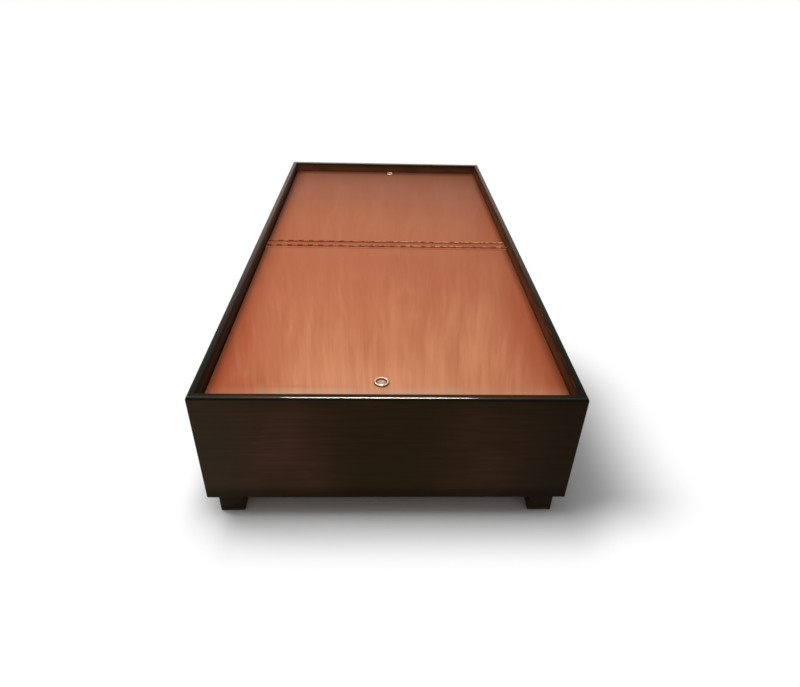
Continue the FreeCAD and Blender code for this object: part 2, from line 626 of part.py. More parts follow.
def make_ledgers():
    """Ledgers that carry the lids: the side ones run the full length, the end ones between them."""
    for side, (_, sign) in SIDES.items():
        xs = span(f"({INNER_X} - Sizes.ledger_side)", INNER_X, sign)
        blank = box(f"lid_ledger_{side}_blank", *xs, minus(INNER_Y), INNER_Y, LEDGER_UNDER, LID_UNDER)
        bored(blank, [rows[f"{side}_ledger"].hole("ledger")], f"lid_ledger_{side}")
    between = f"({INNER_X} - Sizes.ledger_side)"
    for end, (_, sign) in ENDS.items():
        ys = span(f"({INNER_Y} - Sizes.ledger_side)", INNER_Y, sign)
        blank = box(f"lid_ledger_{end}_blank", minus(between), between, *ys, LEDGER_UNDER, LID_UNDER)
        bored(blank, [rows[f"{end}_ledger"].hole("ledger")], f"lid_ledger_{end}")


def make_bottom():
    """Cleats along the boards' lower edges, cross bearers, and the panel that lies on both."""
    post_y = f"({INNER_Y} - Sizes.post_side)"
    post_x = f"({INNER_X} - Sizes.post_side)"
    cleat_x = f"({INNER_X} - Sizes.cleat_width)"
    for side, (_, sign) in SIDES.items():
        xs = span(cleat_x, INNER_X, sign)
        blank = box(f"bottom_cleat_{side}_blank", *xs, minus(post_y), post_y,
                    "Sizes.foot_height", PANEL_UNDER)
        cleat_rows = [rows[f"{side}_{purpose}"].hole("cleat") for purpose in ("cleat", "panel")]
        bored(blank, cleat_rows, f"bottom_cleat_{side}")
    for end, (_, sign) in ENDS.items():
        ys = span(f"({INNER_Y} - Sizes.cleat_width)", INNER_Y, sign)
        blank = box(f"bottom_cleat_{end}_blank", minus(post_x), post_x, *ys,
                    "Sizes.foot_height", PANEL_UNDER)
        bored(blank, [rows[f"{end}_cleat"].hole("cleat")], f"bottom_cleat_{end}")
    for name, middle in BEARERS.items():
        bar = box(f"bottom_bearer_{name}_bar", minus(cleat_x), cleat_x,
                  f"({middle} - Sizes.bearer_width / 2)", f"({middle} + Sizes.bearer_width / 2)",
                  "Sizes.foot_height", PANEL_UNDER)
        bored(bar, [rows[f"{name}_bearer"].hole("bearer")], f"bottom_bearer_{name}")
    body = new_body("bottom_panel")
    far_x, far_y = f"({INNER_X} - Sizes.panel_gap)", f"({INNER_Y} - Sizes.panel_gap)"
    near_x, near_y = f"({post_x} - Sizes.panel_gap)", f"({post_y} - Sizes.panel_gap)"
    corners = []
    for sign_x, sign_y in ((1, -1), (1, 1), (-1, 1), (-1, -1)):
        trio = [(near_x, far_y), (near_x, near_y), (far_x, near_y)]
        if sign_x * sign_y > 0:
            trio.reverse()
        corners += [(signed(x, sign_x), signed(y, sign_y)) for x, y in trio]
    plan = outline(body, "bottom_panel_plan", "XY_Plane", corners)
    pad(body, plan, "Sizes.panel_thickness")
    place(body, z=PANEL_UNDER)
    panel_rows = [f"{side}_panel" for side in SIDES] + [f"{bearer}_bearer" for bearer in BEARERS]
    bored(body, [rows[row].hole("panel") for row in panel_rows], "bottom_panel")


def make_partition():
    """Partition under the strip, its two uprights, the centre rail on top and the strip itself."""
    partition = box("partition_blank", minus(INNER_X), INNER_X, PARTITION_FRONT, PARTITION_BACK,
                    PANEL_TOP, LEDGER_UNDER)
    partition_rows = [rows[name].hole("partition") for name in ("rail", "left_partition", "right_partition")]
    bored(partition, partition_rows, "centre_partition")
    for side, (_, sign) in SIDES.items():
        xs = span(f"({INNER_X} - Sizes.upright_side)", INNER_X, sign)
        upright = box(f"partition_upright_{side}_blank", *xs, PARTITION_BACK,
                      f"({PARTITION_BACK} + Sizes.upright_side)", PANEL_TOP, LEDGER_UNDER)
        upright_rows = [rows[f"{side}_{purpose}"].hole("upright") for purpose in ("upright", "partition")]
        bored(upright, upright_rows, f"partition_upright_{side}")
    between = f"({INNER_X} - Sizes.ledger_side)"
    rail = box("centre_rail_blank", minus(between), between,
               "(Sizes.strip_offset - Sizes.rail_width / 2)", "(Sizes.strip_offset + Sizes.rail_width / 2)",
               LEDGER_UNDER, LID_UNDER)
    bored(rail, [rows["rail"].hole("rail"), rows["strip"].hole("rail")], "centre_rail")
    strip = box("centre_strip_blank", minus(LID_HALF), LID_HALF, STRIP_FRONT, STRIP_BACK, LID_UNDER, LID_TOP)
    strip_rows = [rows[name].hole("strip") for name in ("strip", "front_hinge_strip", "back_hinge_strip")]
    bored(strip, strip_rows, "centre_strip")


def make_lid(name, length, edge_y, sign, holes):
    """A ply lid, drawn from its hinge edge outwards; sign is the way that it reaches along Y."""
    body = new_body(name)
    ys = ("0", length) if sign > 0 else (minus(length), "0")
    plan = rectangle(body, f"{name}_plan", "XY_Plane", minus(LID_HALF), LID_HALF, *ys)
    blank = pad(body, plan, "Sizes.lid_thickness")

    def worn(edge):
        reach = edge.BoundBox
        at_hinge = near(reach.YMin, "0") and near(reach.YMax, "0")
        return near(reach.ZMin, "Sizes.lid_thickness") and not at_hinge

    round_edges(body, blank, "Sizes.lid_round", worn)
    place(body, y=edge_y, z=LID_UNDER)
    return bored(body, holes, name)


def make_lids():
    front_edge = f"({STRIP_FRONT} - Sizes.joint_gap)"
    back_edge = f"({STRIP_BACK} + Sizes.joint_gap)"
    for name, length, edge_y, sign in (("front", FRONT_LID_LENGTH, front_edge, -1),
                                       ("back", BACK_LID_LENGTH, back_edge, 1)):
        holes = [rows[f"{name}_hinge_lid"].hole("lid"), rows[f"{name}_pull"].hole("lid")]
        make_lid(f"{name}_lid", length, edge_y, sign, holes)


def hinge_leaf(name, pin_y, sign, first_slot, row):
    """One leaf of a strip hinge with every other knuckle rolled from it.

    It is drawn across the pin's line; sign is the way that it reaches along Y.
    """
    body = new_body(name)
    radius = KNUCKLE_RADIUS
    reach = f"sqrt(2 * {radius} * Sizes.leaf_thickness - Sizes.leaf_thickness * Sizes.leaf_thickness)"
    under, over = minus(radius), f"(Sizes.leaf_thickness - {radius})"
    section = outline(body, f"{name}_section", "YZ_Plane", [
        (signed("Sizes.leaf_width", sign), under), (signed("Sizes.leaf_width", sign), over),
        (signed(reach, sign), over), ("0", under),
    ], arcs={2: ("0", "0", "y", sign > 0)})
    pad(body, section, HINGE_LENGTH)
    bore = ring_sketch(body, f"{name}_bore", "YZ_Plane", "0", "0", KNUCKLE_BORE)
    pocket_through(body, bore)
    slot_low = f"({first_slot} * {KNUCKLE_PITCH} - Sizes.knuckle_gap / 2)"
    slot_high = f"({first_slot} * {KNUCKLE_PITCH} + {KNUCKLE_PITCH} + Sizes.knuckle_gap / 2)"
    cut_back = f"({radius} + Sizes.slot_clearance)"
    slot = rectangle(body, f"{name}_slot", "XY_Plane", slot_low, slot_high, minus(cut_back), cut_back)
    slots = f"((Sizes.knuckle_count + 1) / 2 - {first_slot})"
    repeat(body, pocket_through(body, slot), "X_Axis", f"(2 * {KNUCKLE_PITCH} * ({slots} - 1))", slots)
    place(body, minus(LID_HALF), pin_y, PIN_Z)
    return bored(body, [row.hole("leaf")], name)


def make_hinges():
    """Two strip hinges whose pins stand on the two joints beside the centre strip."""
    along_x = FreeCAD.Rotation(BACKWARD, 90)
    for name, pin_y, sign in (("front", FRONT_PIN_Y, -1), ("back", BACK_PIN_Y, 1)):
        hinge_leaf(f"{name}_hinge_lid_leaf", pin_y, sign, 0, rows[f"{name}_hinge_lid"])
        hinge_leaf(f"{name}_hinge_strip_leaf", pin_y, -sign, 1, rows[f"{name}_hinge_strip"])
        pin = cylinder(f"{name}_hinge_rod", "Sizes.pin_diameter / 2", HINGE_LENGTH,
                       minus(LID_HALF), pin_y, PIN_Z, along_x)
        keep(pin, f"{name}_hinge_pin")


def make_pulls():
    """Ring pulls: a screwed round plate, an eye at its front edge, and the ring that lies on it."""
    for name, (pull_x, pull_y) in PULLS.items():
        plate = cylinder(f"{name}_pull_disc", "Sizes.pull_plate_diameter / 2", "Sizes.pull_plate_thickness",
                         pull_x, pull_y, LID_TOP)
        bored(plate, [rows[f"{name}_pull"].hole("plate")], f"{name}_pull_plate")
        ring = doc.addObject("Part::Torus", f"{name}_pull_hoop")
        ring.setExpression("Radius1", RING_RADIUS)
        ring.setExpression("Radius2", "Sizes.ring_wire / 2")
        keep(place(ring, pull_x, pull_y, f"({LID_TOP} + {RING_Z})"), f"{name}_pull_ring")
        pull_eye(name, pull_x, pull_y)


def pull_eye(name, pull_x, pull_y):
    """The eye: an arch over the ring's wire, standing on the plate, its bore along X."""
    body = new_body(f"{name}_pull_eye")
    foot = f"(Sizes.pull_plate_thickness - {RING_Z})"
    arch = outline(body, f"{name}_pull_eye_arch", "YZ_Plane", [
        (EYE_RADIUS, foot), (EYE_RADIUS, "0"), (minus(EYE_RADIUS), "0"), (minus(EYE_RADIUS), foot),
    ], arcs={1: ("0", "0", "y", True)})
    pad(body, arch, "Sizes.eye_width")
    mouth = outline(body, f"{name}_pull_eye_mouth", "YZ_Plane", [
        (EYE_BORE, f"({foot} - Sizes.overrun)"), (EYE_BORE, "0"), (minus(EYE_BORE), "0"),
        (minus(EYE_BORE), f"({foot} - Sizes.overrun)"),
    ], arcs={1: ("0", "0", "y", True)})
    pocket_through(body, mouth)
    axis_y = f"({pull_y} - {RING_RADIUS} + {RING_BOW} / 2)"
    place(body, f"({pull_x} - Sizes.eye_width / 2)", axis_y, f"({LID_TOP} + {RING_Z})")
    keep(body, f"{name}_pull_eye")


def make_screw_sets():
    """Screws of one kind and purpose share a node."""
    sets = {
        "lid_ledger_screws": [f"{place_name}_ledger" for place_name in (*SIDES, *ENDS)],
        "bottom_cleat_screws": [f"{place_name}_cleat" for place_name in (*SIDES, *ENDS)],
        "corner_post_screws": [f"{end}_{side}_post_{face}"
                               for end in ENDS for side in SIDES for face in ("side", "end")],
        "bottom_panel_screws": ["left_panel", "right_panel"] + [f"{bearer}_bearer" for bearer in BEARERS],
        "partition_upright_screws": ["left_upright", "right_upright"],
        "partition_screws": ["left_partition", "right_partition"],
        "centre_rail_screws": ["rail"],
        "centre_strip_screws": ["strip"],
        "front_lid_hinge_screws": ["front_hinge_lid"],
        "back_lid_hinge_screws": ["back_hinge_lid"],
        "strip_hinge_screws": ["front_hinge_strip", "back_hinge_strip"],
        "front_pull_screws": ["front_pull"],
        "back_pull_screws": ["back_pull"],
    }
    for name, members in sets.items():
        parts = [rows[member].screws for member in members]
        keep(parts[0] if len(parts) == 1 else group(f"{name}_set", parts), name)


make_boards()
make_feet()
make_posts()
make_ledgers()
make_bottom()
make_partition()
make_lids()
make_hinges()
make_pulls()
make_screw_sets()
doc.recompute()

for item in doc.Objects:
    if "Invalid" in item.State or "Error" in item.State:
        raise RuntimeError(f"{item.Name} did not build: {item.State}")
for part in SUBPARTS:
    if part.Shape.isNull() or not part.Shape.isValid():
        raise RuntimeError(f"{part.Label} has no valid shape")
for part in SUBPARTS:
    part.Shape.exportStep(f"parts/{part.Label}.step")
print(len(SUBPARTS), "sub-parts")
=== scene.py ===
import json
import math
from contextlib import contextmanager

import bmesh
import bpy
from mathutils import Matrix, Vector

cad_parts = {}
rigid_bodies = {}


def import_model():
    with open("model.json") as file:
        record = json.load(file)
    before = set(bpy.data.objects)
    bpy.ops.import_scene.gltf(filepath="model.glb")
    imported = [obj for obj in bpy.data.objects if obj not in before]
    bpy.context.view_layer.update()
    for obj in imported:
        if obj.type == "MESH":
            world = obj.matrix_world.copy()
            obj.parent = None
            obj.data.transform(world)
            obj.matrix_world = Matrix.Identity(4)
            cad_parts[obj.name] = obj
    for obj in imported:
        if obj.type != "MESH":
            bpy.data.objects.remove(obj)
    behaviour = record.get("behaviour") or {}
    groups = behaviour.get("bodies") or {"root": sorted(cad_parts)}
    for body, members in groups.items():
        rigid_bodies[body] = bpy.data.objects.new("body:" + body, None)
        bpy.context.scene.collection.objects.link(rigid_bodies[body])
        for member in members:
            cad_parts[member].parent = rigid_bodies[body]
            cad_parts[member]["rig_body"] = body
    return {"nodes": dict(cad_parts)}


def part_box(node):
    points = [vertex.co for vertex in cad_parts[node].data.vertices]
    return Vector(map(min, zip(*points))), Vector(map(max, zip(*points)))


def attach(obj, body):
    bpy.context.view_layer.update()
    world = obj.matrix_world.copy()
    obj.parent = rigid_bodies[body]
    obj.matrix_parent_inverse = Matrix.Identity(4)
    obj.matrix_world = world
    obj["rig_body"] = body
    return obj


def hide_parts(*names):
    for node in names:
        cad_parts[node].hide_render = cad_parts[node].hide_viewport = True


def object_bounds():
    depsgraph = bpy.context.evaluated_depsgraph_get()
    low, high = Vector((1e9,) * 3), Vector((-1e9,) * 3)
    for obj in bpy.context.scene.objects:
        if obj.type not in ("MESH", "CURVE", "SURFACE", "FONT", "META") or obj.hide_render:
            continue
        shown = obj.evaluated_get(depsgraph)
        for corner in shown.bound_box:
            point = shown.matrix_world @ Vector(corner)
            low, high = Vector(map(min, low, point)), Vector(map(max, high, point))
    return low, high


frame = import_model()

bl_info = {
    "name": "Storage Divan",
    "version": (1, 0, 0),
    "blender": (4, 5, 0),
    "location": "3D View > Sidebar > Divan",
    "description": "Models the pieces of a storage divan round its CAD frame, with finishes and a stage",
    "category": "Object",
}

MM = 0.001

# The frame's own boxes, which every piece takes its place from
CAD_LOW, CAD_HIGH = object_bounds()
NODES = frame["nodes"]
BODY_OF = {name: node["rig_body"] for name, node in NODES.items()}
SLOT_OF = {name: node.data.materials[0].name for name, node in NODES.items()}
INNER_HIGH = Vector((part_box("right_board")[0].x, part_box("back_board")[0].y, CAD_HIGH.z))
BOARD_THICKNESS = CAD_HIGH.x - INNER_HIGH.x
BOARD_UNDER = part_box("front_board")[0].z
LID_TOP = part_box("front_lid")[1].z
LID_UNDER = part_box("front_lid")[0].z

# Small distances, a slant and an angle for telling faces and edges apart
TOUCH = 0.01 * MM
NEAR = 0.4 * MM
FLAT = 0.9
SHARP = math.radians(60)

# Two rings divide the plate under a pull, a third and a sixth of its radius wide
PLATE_PARTS = 3, 6

# Each screw is turned about 137 degrees from the one before it, so that no two crosses match
SCREW_TURN = 2.4
# Half a facet, which puts four corners of a twelve-sided head between the arms of its cross
SCREW_START = math.radians(15)
SCREW_TIP = 0.15
RECESS_TAPER = 0.8
RECESS_MIDDLE = 0.1 * MM
# Slack for finding a corner of the recess by its place, as a share of the recess
RECESS_SLACK = 0.02
DIAGONAL_SLACK = 0.05


# Sizes and colours that a user would change

def length(name, default, description):
    return bpy.props.FloatProperty(
        name=name, description=description, default=default, min=0, unit="LENGTH", precision=5)


def share(name, default, description):
    return bpy.props.FloatProperty(
        name=name, description=description, default=default, min=0, max=1, subtype="FACTOR")


def count(name, default, description):
    return bpy.props.IntProperty(name=name, description=description, default=default, min=1)


def angle(name, degrees, description):
    return bpy.props.FloatProperty(
        name=name, description=description, default=math.radians(degrees), subtype="ANGLE")


def colour(name, default, description):
    return bpy.props.FloatVectorProperty(
        name=name, description=description, default=default, size=3, min=0, max=1, subtype="COLOR")


def strength(name, default, description):
    return bpy.props.FloatProperty(name=name, description=description, default=default, min=0)


class BoardSizes(bpy.types.PropertyGroup):
    """Edges of the four outer boards"""
    top_round: length("Top Round", 8 * MM, "Radius of the outer upper edge")
    inner_round: length("Inner Round", 4 * MM, "Radius of the inner upper edge")
    corner_round: length("Corner Round", 3 * MM, "Radius of the upright corners")
    under_round: length("Under Round", 2 * MM, "Radius of the outer lower edge")
    mitre_line: length("Mitre Line", 0.16 * MM, "Width of the fine line where two boards meet")
    steps: count("Steps", 6, "Facets round each edge")


class FootSizes(bpy.types.PropertyGroup):
    """The four square feet"""
    edge_round: length("Edge Round", 3 * MM, "Radius of the upright edges")
    sole_bevel: length("Sole Bevel", 2 * MM, "Chamfer round the sole")
    recess_width: length("Recess Width", 27 * MM, "Round recess in the sole for the bolt's head")
    recess_depth: length("Recess Depth", 20 * MM, "Depth of that recess")
    recess_cuts: count("Recess Cuts", 7, "Cuts in each quarter of that recess")
    steps: count("Steps", 4, "Facets round each edge")


class LidSizes(bpy.types.PropertyGroup):
    """The two lids and the fixed strip between them"""
    edge_round: length("Edge Round", 1.2 * MM, "Sanded upper edges")
    under_round: length("Under Round", 0.5 * MM, "Sanded lower edges")
    steps: count("Steps", 3, "Facets round each edge")


class HingeSizes(bpy.types.PropertyGroup):
    """The two strip hinges"""
    leaf_thickness: length("Leaf Thickness", 1 * MM, "Sheet metal of a leaf")
    knuckle_gap: length("Knuckle Gap", 0.5 * MM, "Space between neighbouring knuckles")
    slot_clearance: length("Slot Clearance", 1 * MM, "A leaf is cut back this far round the other's knuckles")
    burr: length("Burr", 0.12 * MM, "Soft edges of the sheet metal")
    knuckles: count("Knuckles", 47, "Knuckles along one hinge")
    roll: angle("Roll", 296, "How far a knuckle is rolled round its pin")
    roll_steps: count("Roll Steps", 14, "Facets round a knuckle")
    pin_dome: length("Pin Dome", 0.9 * MM, "Rounded ends of the pin")
    pin_facets: count("Pin Facets", 24, "Facets round the pin")
    dome_steps: count("Dome Steps", 3, "Facets from the pin's side to its end")


class PullSizes(bpy.types.PropertyGroup):
    """The two ring pulls"""
    rim: length("Rim", 2.2 * MM, "Raised rim round the plate")
    dish: length("Dish", 0.6 * MM, "Depth of the plate inside its rim")
    plate_round: length("Plate Round", 0.5 * MM, "Rounded edges of the plate")
    wire: length("Wire", 3.5 * MM, "Diameter of the ring's wire")
    seam: length("Seam", 0.25 * MM, "Where the two ends of the ring's wire meet")
    strap: length("Strap", 1.4 * MM, "Thickness of the eye that holds the ring")
    strap_round: length("Strap Round", 0.3 * MM, "Rounded edges of the eye")
    facets: count("Facets", 16, "Facets round the wire")
    steps: count("Steps", 64, "Steps round the ring and the plate")
    bend_steps: count("Bend Steps", 12, "Steps over the bend of the eye")
    edge_steps: count("Edge Steps", 3, "Facets round each edge")


class FramingSizes(bpy.types.PropertyGroup):
    """Posts, ledgers, cleats, bearers, rail and uprights"""
    arris: length("Arris", 1.5 * MM, "Sanded edges of the timbers")
    steps: count("Steps", 2, "Facets round each edge")


class ScrewSizes(bpy.types.PropertyGroup):
    """Countersunk screws with a cross recess"""
    proud: length("Proud", 0.18 * MM, "How far a head stands out of the wood")
    recess_share: share("Recess Share", 0.62, "Width of the cross recess, as a share of the head")
    arm_share: share("Arm Share", 0.4, "Width of the middle of the cross, as a share of the recess")
    depth_share: share("Depth Share", 0.3, "Depth of the recess, as a share of the head's radius")
    shank_share: share("Shank Share", 0.5, "Shank, as a share of the head's width")
    point_share: share("Point Share", 0.1, "Tapered point, as a share of the length")
    facets: count("Facets", 12, "Facets round a screw")


class FinishColours(bpy.types.PropertyGroup):
    """Colours of the finishes"""
    board_dark: colour("Board Dark", (0.0205, 0.0115, 0.0042), "Dark ground of the outer boards")
    board_light: colour("Board Light", (0.0375, 0.0205, 0.0080), "Lighter grain of the outer boards")
    board_red: colour("Board Red", (0.118, 0.048, 0.028), "Reddish patches in the outer boards")
    board_rim: colour("Board Rim", (0.009, 0.009, 0.0065), "Lacquered upper edges towards the near end")
    board_warm: colour("Board Warm", (0.033, 0.014, 0.0025), "Flat part of the near board's upper edge")
    # painted reflection and light: paler upper edges towards the far end, the lighter left of the boards, and
    # the upper inner faces
    board_pale_sheen: colour("Board Dull", (0.140, 0.106, 0.083), "Dulled upper edges towards the far end")
    board_inside: colour("Board Inside", (0.156, 0.048, 0.020), "Stain that reached the boards' inner faces")
    # also painted shade: under the rounded edges, towards the right, and on the right edge's near end
    board_black: colour("Board Black", (0.004, 0.004, 0.003), "Thick lacquer under the rounded edges")
    # painted shade at the foot of the inner faces
    board_deep_shade: colour("Board Deep", (0.026, 0.006, 0.002), "Dark red stain at the foot of the inner faces")
    # also a painted highlight round the near pull
    lid_pale_and_glare: colour("Lid Pale", (0.62, 0.280, 0.150), "Strokes where the brush left the wood almost bare")
    lid_middle: colour("Lid Middle", (0.505, 0.197, 0.096), "Where the stain is rubbed thin")
    lid_ground: colour("Lid Ground", (0.385, 0.121, 0.057), "The lids' usual colour")
    lid_edge: colour("Lid Edge", (0.34, 0.070, 0.027), "Where the stain gathered beside the boards")
    lid_streak: colour("Lid Streak", (0.30, 0.080, 0.032), "Darker brush strokes and pores")
    # painted shade towards the far end
    lid_far_shade: colour("Lid Far", (0.25, 0.096, 0.058), "Dull brown towards the far end")
    # also a painted reflection on the far board's upper edge
    lid_dust_and_sheen: colour("Lid Dust", (0.42, 0.370, 0.275), "Grey wear along the near board")
    # painted shade with some dirt beside the boards, and the dark on the plates
    lid_shade: colour("Lid Shade", (0.070, 0.022, 0.010), "Dirt on the lids close to the boards")
    ply_glue: colour("Ply Glue", (0.10, 0.050, 0.026), "Dark layers in a cut edge of plywood")
    ply_pale: colour("Ply Pale", (0.50, 0.330, 0.190), "Pale layers and raw faces of plywood")
    ply_deep: colour("Ply Deep", (0.34, 0.200, 0.105), "Grain in raw plywood")
    timber_pale: colour("Timber Pale", (0.58, 0.390, 0.210), "Planed softwood")
    timber_deep: colour("Timber Deep", (0.36, 0.185, 0.075), "Late wood in planed softwood")
    hinge_stain: colour("Hinge Stain", (0.40, 0.125, 0.058), "Stain over the hinge leaves")
    # partly painted shade for the slots between the knuckles
    hinge_dark_and_shade: colour("Hinge Dark", (0.185, 0.042, 0.014), "Stain gathered on the fixed leaves' knuckles")
    # partly a painted highlight on the knuckles
    bare_metal_and_glint: colour("Bare Metal", (0.68, 0.350, 0.230), "Metal where the stain has worn off")
    pin_metal: colour("Pin Metal", (0.33, 0.300, 0.270), "Hinge pins")
    pull_metal: colour("Pull Metal", (0.88, 0.655, 0.505), "Bright plating of the rings and eyes")
    plate_bare: colour("Plate Bare", (0.52, 0.350, 0.250), "The plates' middle, rubbed bare")
    # also painted shade under the rings, and a painted highlight on the right board's inner arris
    plate_stain_shade_and_glint: colour("Plate Stain", (0.20, 0.070, 0.032), "Stain brushed thinly over the round plates")
    screw_metal: colour("Screw Metal", (0.50, 0.470, 0.430), "Zinc plated screws")
    soot: colour("Soot", (0.012, 0.008, 0.006), "Dirt in recesses")


class StageSettings(bpy.types.PropertyGroup):
    """Camera, floor and lights"""
    camera_place: bpy.props.FloatVectorProperty(
        name="Camera Place", description="Where the camera stands", default=(-0.0229, -2.0238, 1.2523),
        size=3, unit="LENGTH")
    camera_pitch: angle("Camera Pitch", 33.152, "How far the camera looks down")
    camera_yaw: angle("Camera Yaw", -2.3545, "How far the camera is turned to the left")
    camera_roll: angle("Camera Roll", 1.707, "How far the camera leans")
    lens: bpy.props.FloatProperty(
        name="Lens", description="Focal length in millimetres on a 36 mm sensor", default=25.79, min=1)
    floor_colour: colour("Floor Colour", (0.80, 0.80, 0.80), "The pale floor")
    floor_shown: strength("Floor Shown", 0.72, "How bright the camera sees the lit floor")
    right_start: length("Right Start", 104 * MM, "The shadow starts to fade this far to the right")
    fade_right: length("Fade Right", 0.35, "The shadow fades over this length to the right")
    fade_left: length("Fade Left", 0.12, "The shadow fades over this length to the left")
    fade_front: length("Fade Front", 0.21, "The shadow fades over this length in front")
    fade_back: length("Fade Back", 0.16, "The shadow fades over this length behind")
    sky: strength("Sky", 0.32, "Soft light from all round")
    overhead: strength("Overhead Light", 18.0, "Large soft light over the near lid, in watts")
    side: strength("Side Light", 58.0, "Soft light from the left, in watts")
    strip: strength("Strip Light", 350.0, "Narrow light, seen only as a glint on the near edge, in watts")


SETTINGS = {
    "divan_boards": BoardSizes,
    "divan_feet": FootSizes,
    "divan_lids": LidSizes,
    "divan_hinges": HingeSizes,
    "divan_pulls": PullSizes,
    "divan_framing": FramingSizes,
    "divan_screws": ScrewSizes,
    "divan_colours": FinishColours,
    "divan_stage": StageSettings,
}


# Selecting and shaping

def choose(*pieces):
    """Selects these objects alone and makes the first one active"""
    bpy.ops.object.select_all(action="DESELECT")
    for piece in pieces:
        piece.select_set(True)
    bpy.context.view_layer.objects.active = pieces[0]


@contextmanager
def editing(piece, kind):
    """Edit mode on one piece, for picking one kind of element, with nothing picked yet"""
    choose(piece)
    bpy.ops.object.mode_set(mode="EDIT")
    bpy.ops.mesh.select_mode(type=kind)
    bpy.ops.mesh.select_all(action="DESELECT")
    try:
        yield
    finally:
        bpy.ops.object.mode_set(mode="OBJECT")


def pick_faces(test):
    """Picks the faces of the piece in edit mode whose middle and normal pass the test"""
    mesh = bmesh.from_edit_mesh(bpy.context.object.data)
    for face in mesh.faces:
        face.select_set(bool(test(face.calc_center_median(), face.normal)))
    bmesh.update_edit_mesh(bpy.context.object.data)


def pick_edges(test):
    """Picks the edges of the piece in edit mode whose two ends pass the test"""
    mesh = bmesh.from_edit_mesh(bpy.context.object.data)
    for edge in mesh.edges:
        edge.select_set(bool(test(edge.verts[0].co, edge.verts[1].co)))
    bmesh.update_edit_mesh(bpy.context.object.data)


def pick_corners(test):
    """Picks the vertices of the piece in edit mode whose place passes the test"""
    mesh = bmesh.from_edit_mesh(bpy.context.object.data)
    for corner in mesh.verts:
        corner.select_set(bool(test(corner.co)))
    mesh.select_flush_mode()
    bmesh.update_edit_mesh(bpy.context.object.data)


def extrude(step):
    """Extrudes what is picked by a step"""
    bpy.ops.mesh.extrude_region_move(TRANSFORM_OT_translate={"value": step})


def resize_sideways(factor, middle):
    """Resizes what is picked in X and Y"""
    bpy.ops.transform.resize(value=(factor, factor, 1), center_override=middle)


def start_piece(name):
    """Names the primitive just added and puts its place into its mesh"""
    piece = bpy.context.object
    piece.name = piece.data.name = name
    bpy.ops.object.transform_apply(location=True, rotation=True, scale=True)
    return piece


def block(name, low, high):
    """A box between two corners, the start of a wooden piece"""
    bpy.ops.mesh.primitive_cube_add(size=1, location=(low + high) / 2, scale=high - low)
    return start_piece(name)


def weigh_edges(piece, width, widest, test):
    """Marks the edges that pass the test for rounding by width, as a share of the widest round"""
    with editing(piece, "EDGE"):
        pick_edges(test)
        bpy.ops.transform.edge_bevelweight(value=width / widest)


def apply_all(piece):
    """Applies the piece's modifiers from the top down"""
    choose(piece)
    for name in [modifier.name for modifier in piece.modifiers]:
        bpy.ops.object.modifier_apply(modifier=name)


def round_weighed(piece, widest, steps):
    """Rounds the edges that were marked"""
    bevel = piece.modifiers.new("Round", "BEVEL")
    bevel.limit_method = "WEIGHT"
    bevel.width = widest
    bevel.segments = steps
    bevel.use_clamp_overlap = False
    apply_all(piece)


def smooth(piece, degrees=35):
    """Smooth shading that keeps flat faces flat and hard edges hard"""
    choose(piece)
    bpy.ops.object.shade_smooth_by_angle(angle=math.radians(degrees))
    weighted = piece.modifiers.new("Flat Faces", "WEIGHTED_NORMAL")
    weighted.keep_sharp = True
    apply_all(piece)


def face_outwards(piece):
    """Merges doubles and turns every face outwards"""
    with editing(piece, "VERT"):
        bpy.ops.mesh.select_all(action="SELECT")
        bpy.ops.mesh.remove_doubles(threshold=TOUCH)
        bpy.ops.mesh.normals_make_consistent(inside=False)


def make_sheet_metal(piece, thickness, edge_round, steps):
    """Gives a bare surface the thickness of its metal and softens its sharp edges"""
    sheet = piece.modifiers.new("Sheet Metal", "SOLIDIFY")
    sheet.thickness = thickness
    sheet.offset = 0
    sheet.use_even_offset = True
    edges = piece.modifiers.new("Soft Edges", "BEVEL")
    edges.width = edge_round
    edges.segments = steps
    edges.limit_method = "ANGLE"
    edges.angle_limit = SHARP
    apply_all(piece)
    face_outwards(piece)
    smooth(piece, degrees=40)


def copy_piece(piece, name):
    """A second piece with its own mesh"""
    choose(piece)
    bpy.ops.object.duplicate(linked=False)
    twin = bpy.context.object
    twin.name = twin.data.name = name
    return twin


def join_pieces(name, pieces):
    """One object of several"""
    choose(*pieces)
    if len(pieces) > 1:
        bpy.ops.object.join()
    joined = bpy.context.object
    joined.name = joined.data.name = name
    return joined


def stand_for(piece, finish, *nodes):
    """Gives a piece its finish and puts it in the place of the CAD nodes that it stands for"""
    piece.data.materials.clear()
    piece.data.materials.append(bpy.data.materials[finish])
    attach(piece, BODY_OF[nodes[0]])
    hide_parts(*nodes)


# Node trees

class Value:
    """A number that changes over a surface, which plain signs turn into math nodes"""

    def __init__(self, recipe, socket):
        self.recipe = recipe
        self.socket = socket

    def __add__(self, other):
        return self.recipe.math("ADD", self, other)

    def __sub__(self, other):
        return self.recipe.math("SUBTRACT", self, other)

    def __rsub__(self, other):
        return self.recipe.math("SUBTRACT", other, self)

    def __mul__(self, other):
        return self.recipe.math("MULTIPLY", self, other)

    def __truediv__(self, other):
        return self.recipe.math("DIVIDE", self, other)

    def __rtruediv__(self, other):
        return self.recipe.math("DIVIDE", other, self)

    def __or__(self, other):
        """The larger of the two"""
        return self.recipe.math("MAXIMUM", self, other)

    def __abs__(self):
        return self.recipe.math("ABSOLUTE", self)

    def rise(self, low, high):
        """Goes smoothly from 0 at low to 1 at high"""
        made = self.recipe.add(
            "ShaderNodeMapRange", {"Value": self, "From Min": low, "From Max": high},
            interpolation_type="SMOOTHSTEP")
        return Value(self.recipe, made.outputs["Result"])

    def blend(self, first, second):
        """A number between two, by this one"""
        made = self.recipe.add(
            "ShaderNodeMix", {"Factor": self, "A": first, "B": second}, data_type="FLOAT")
        return Value(self.recipe, made.outputs["Result"])


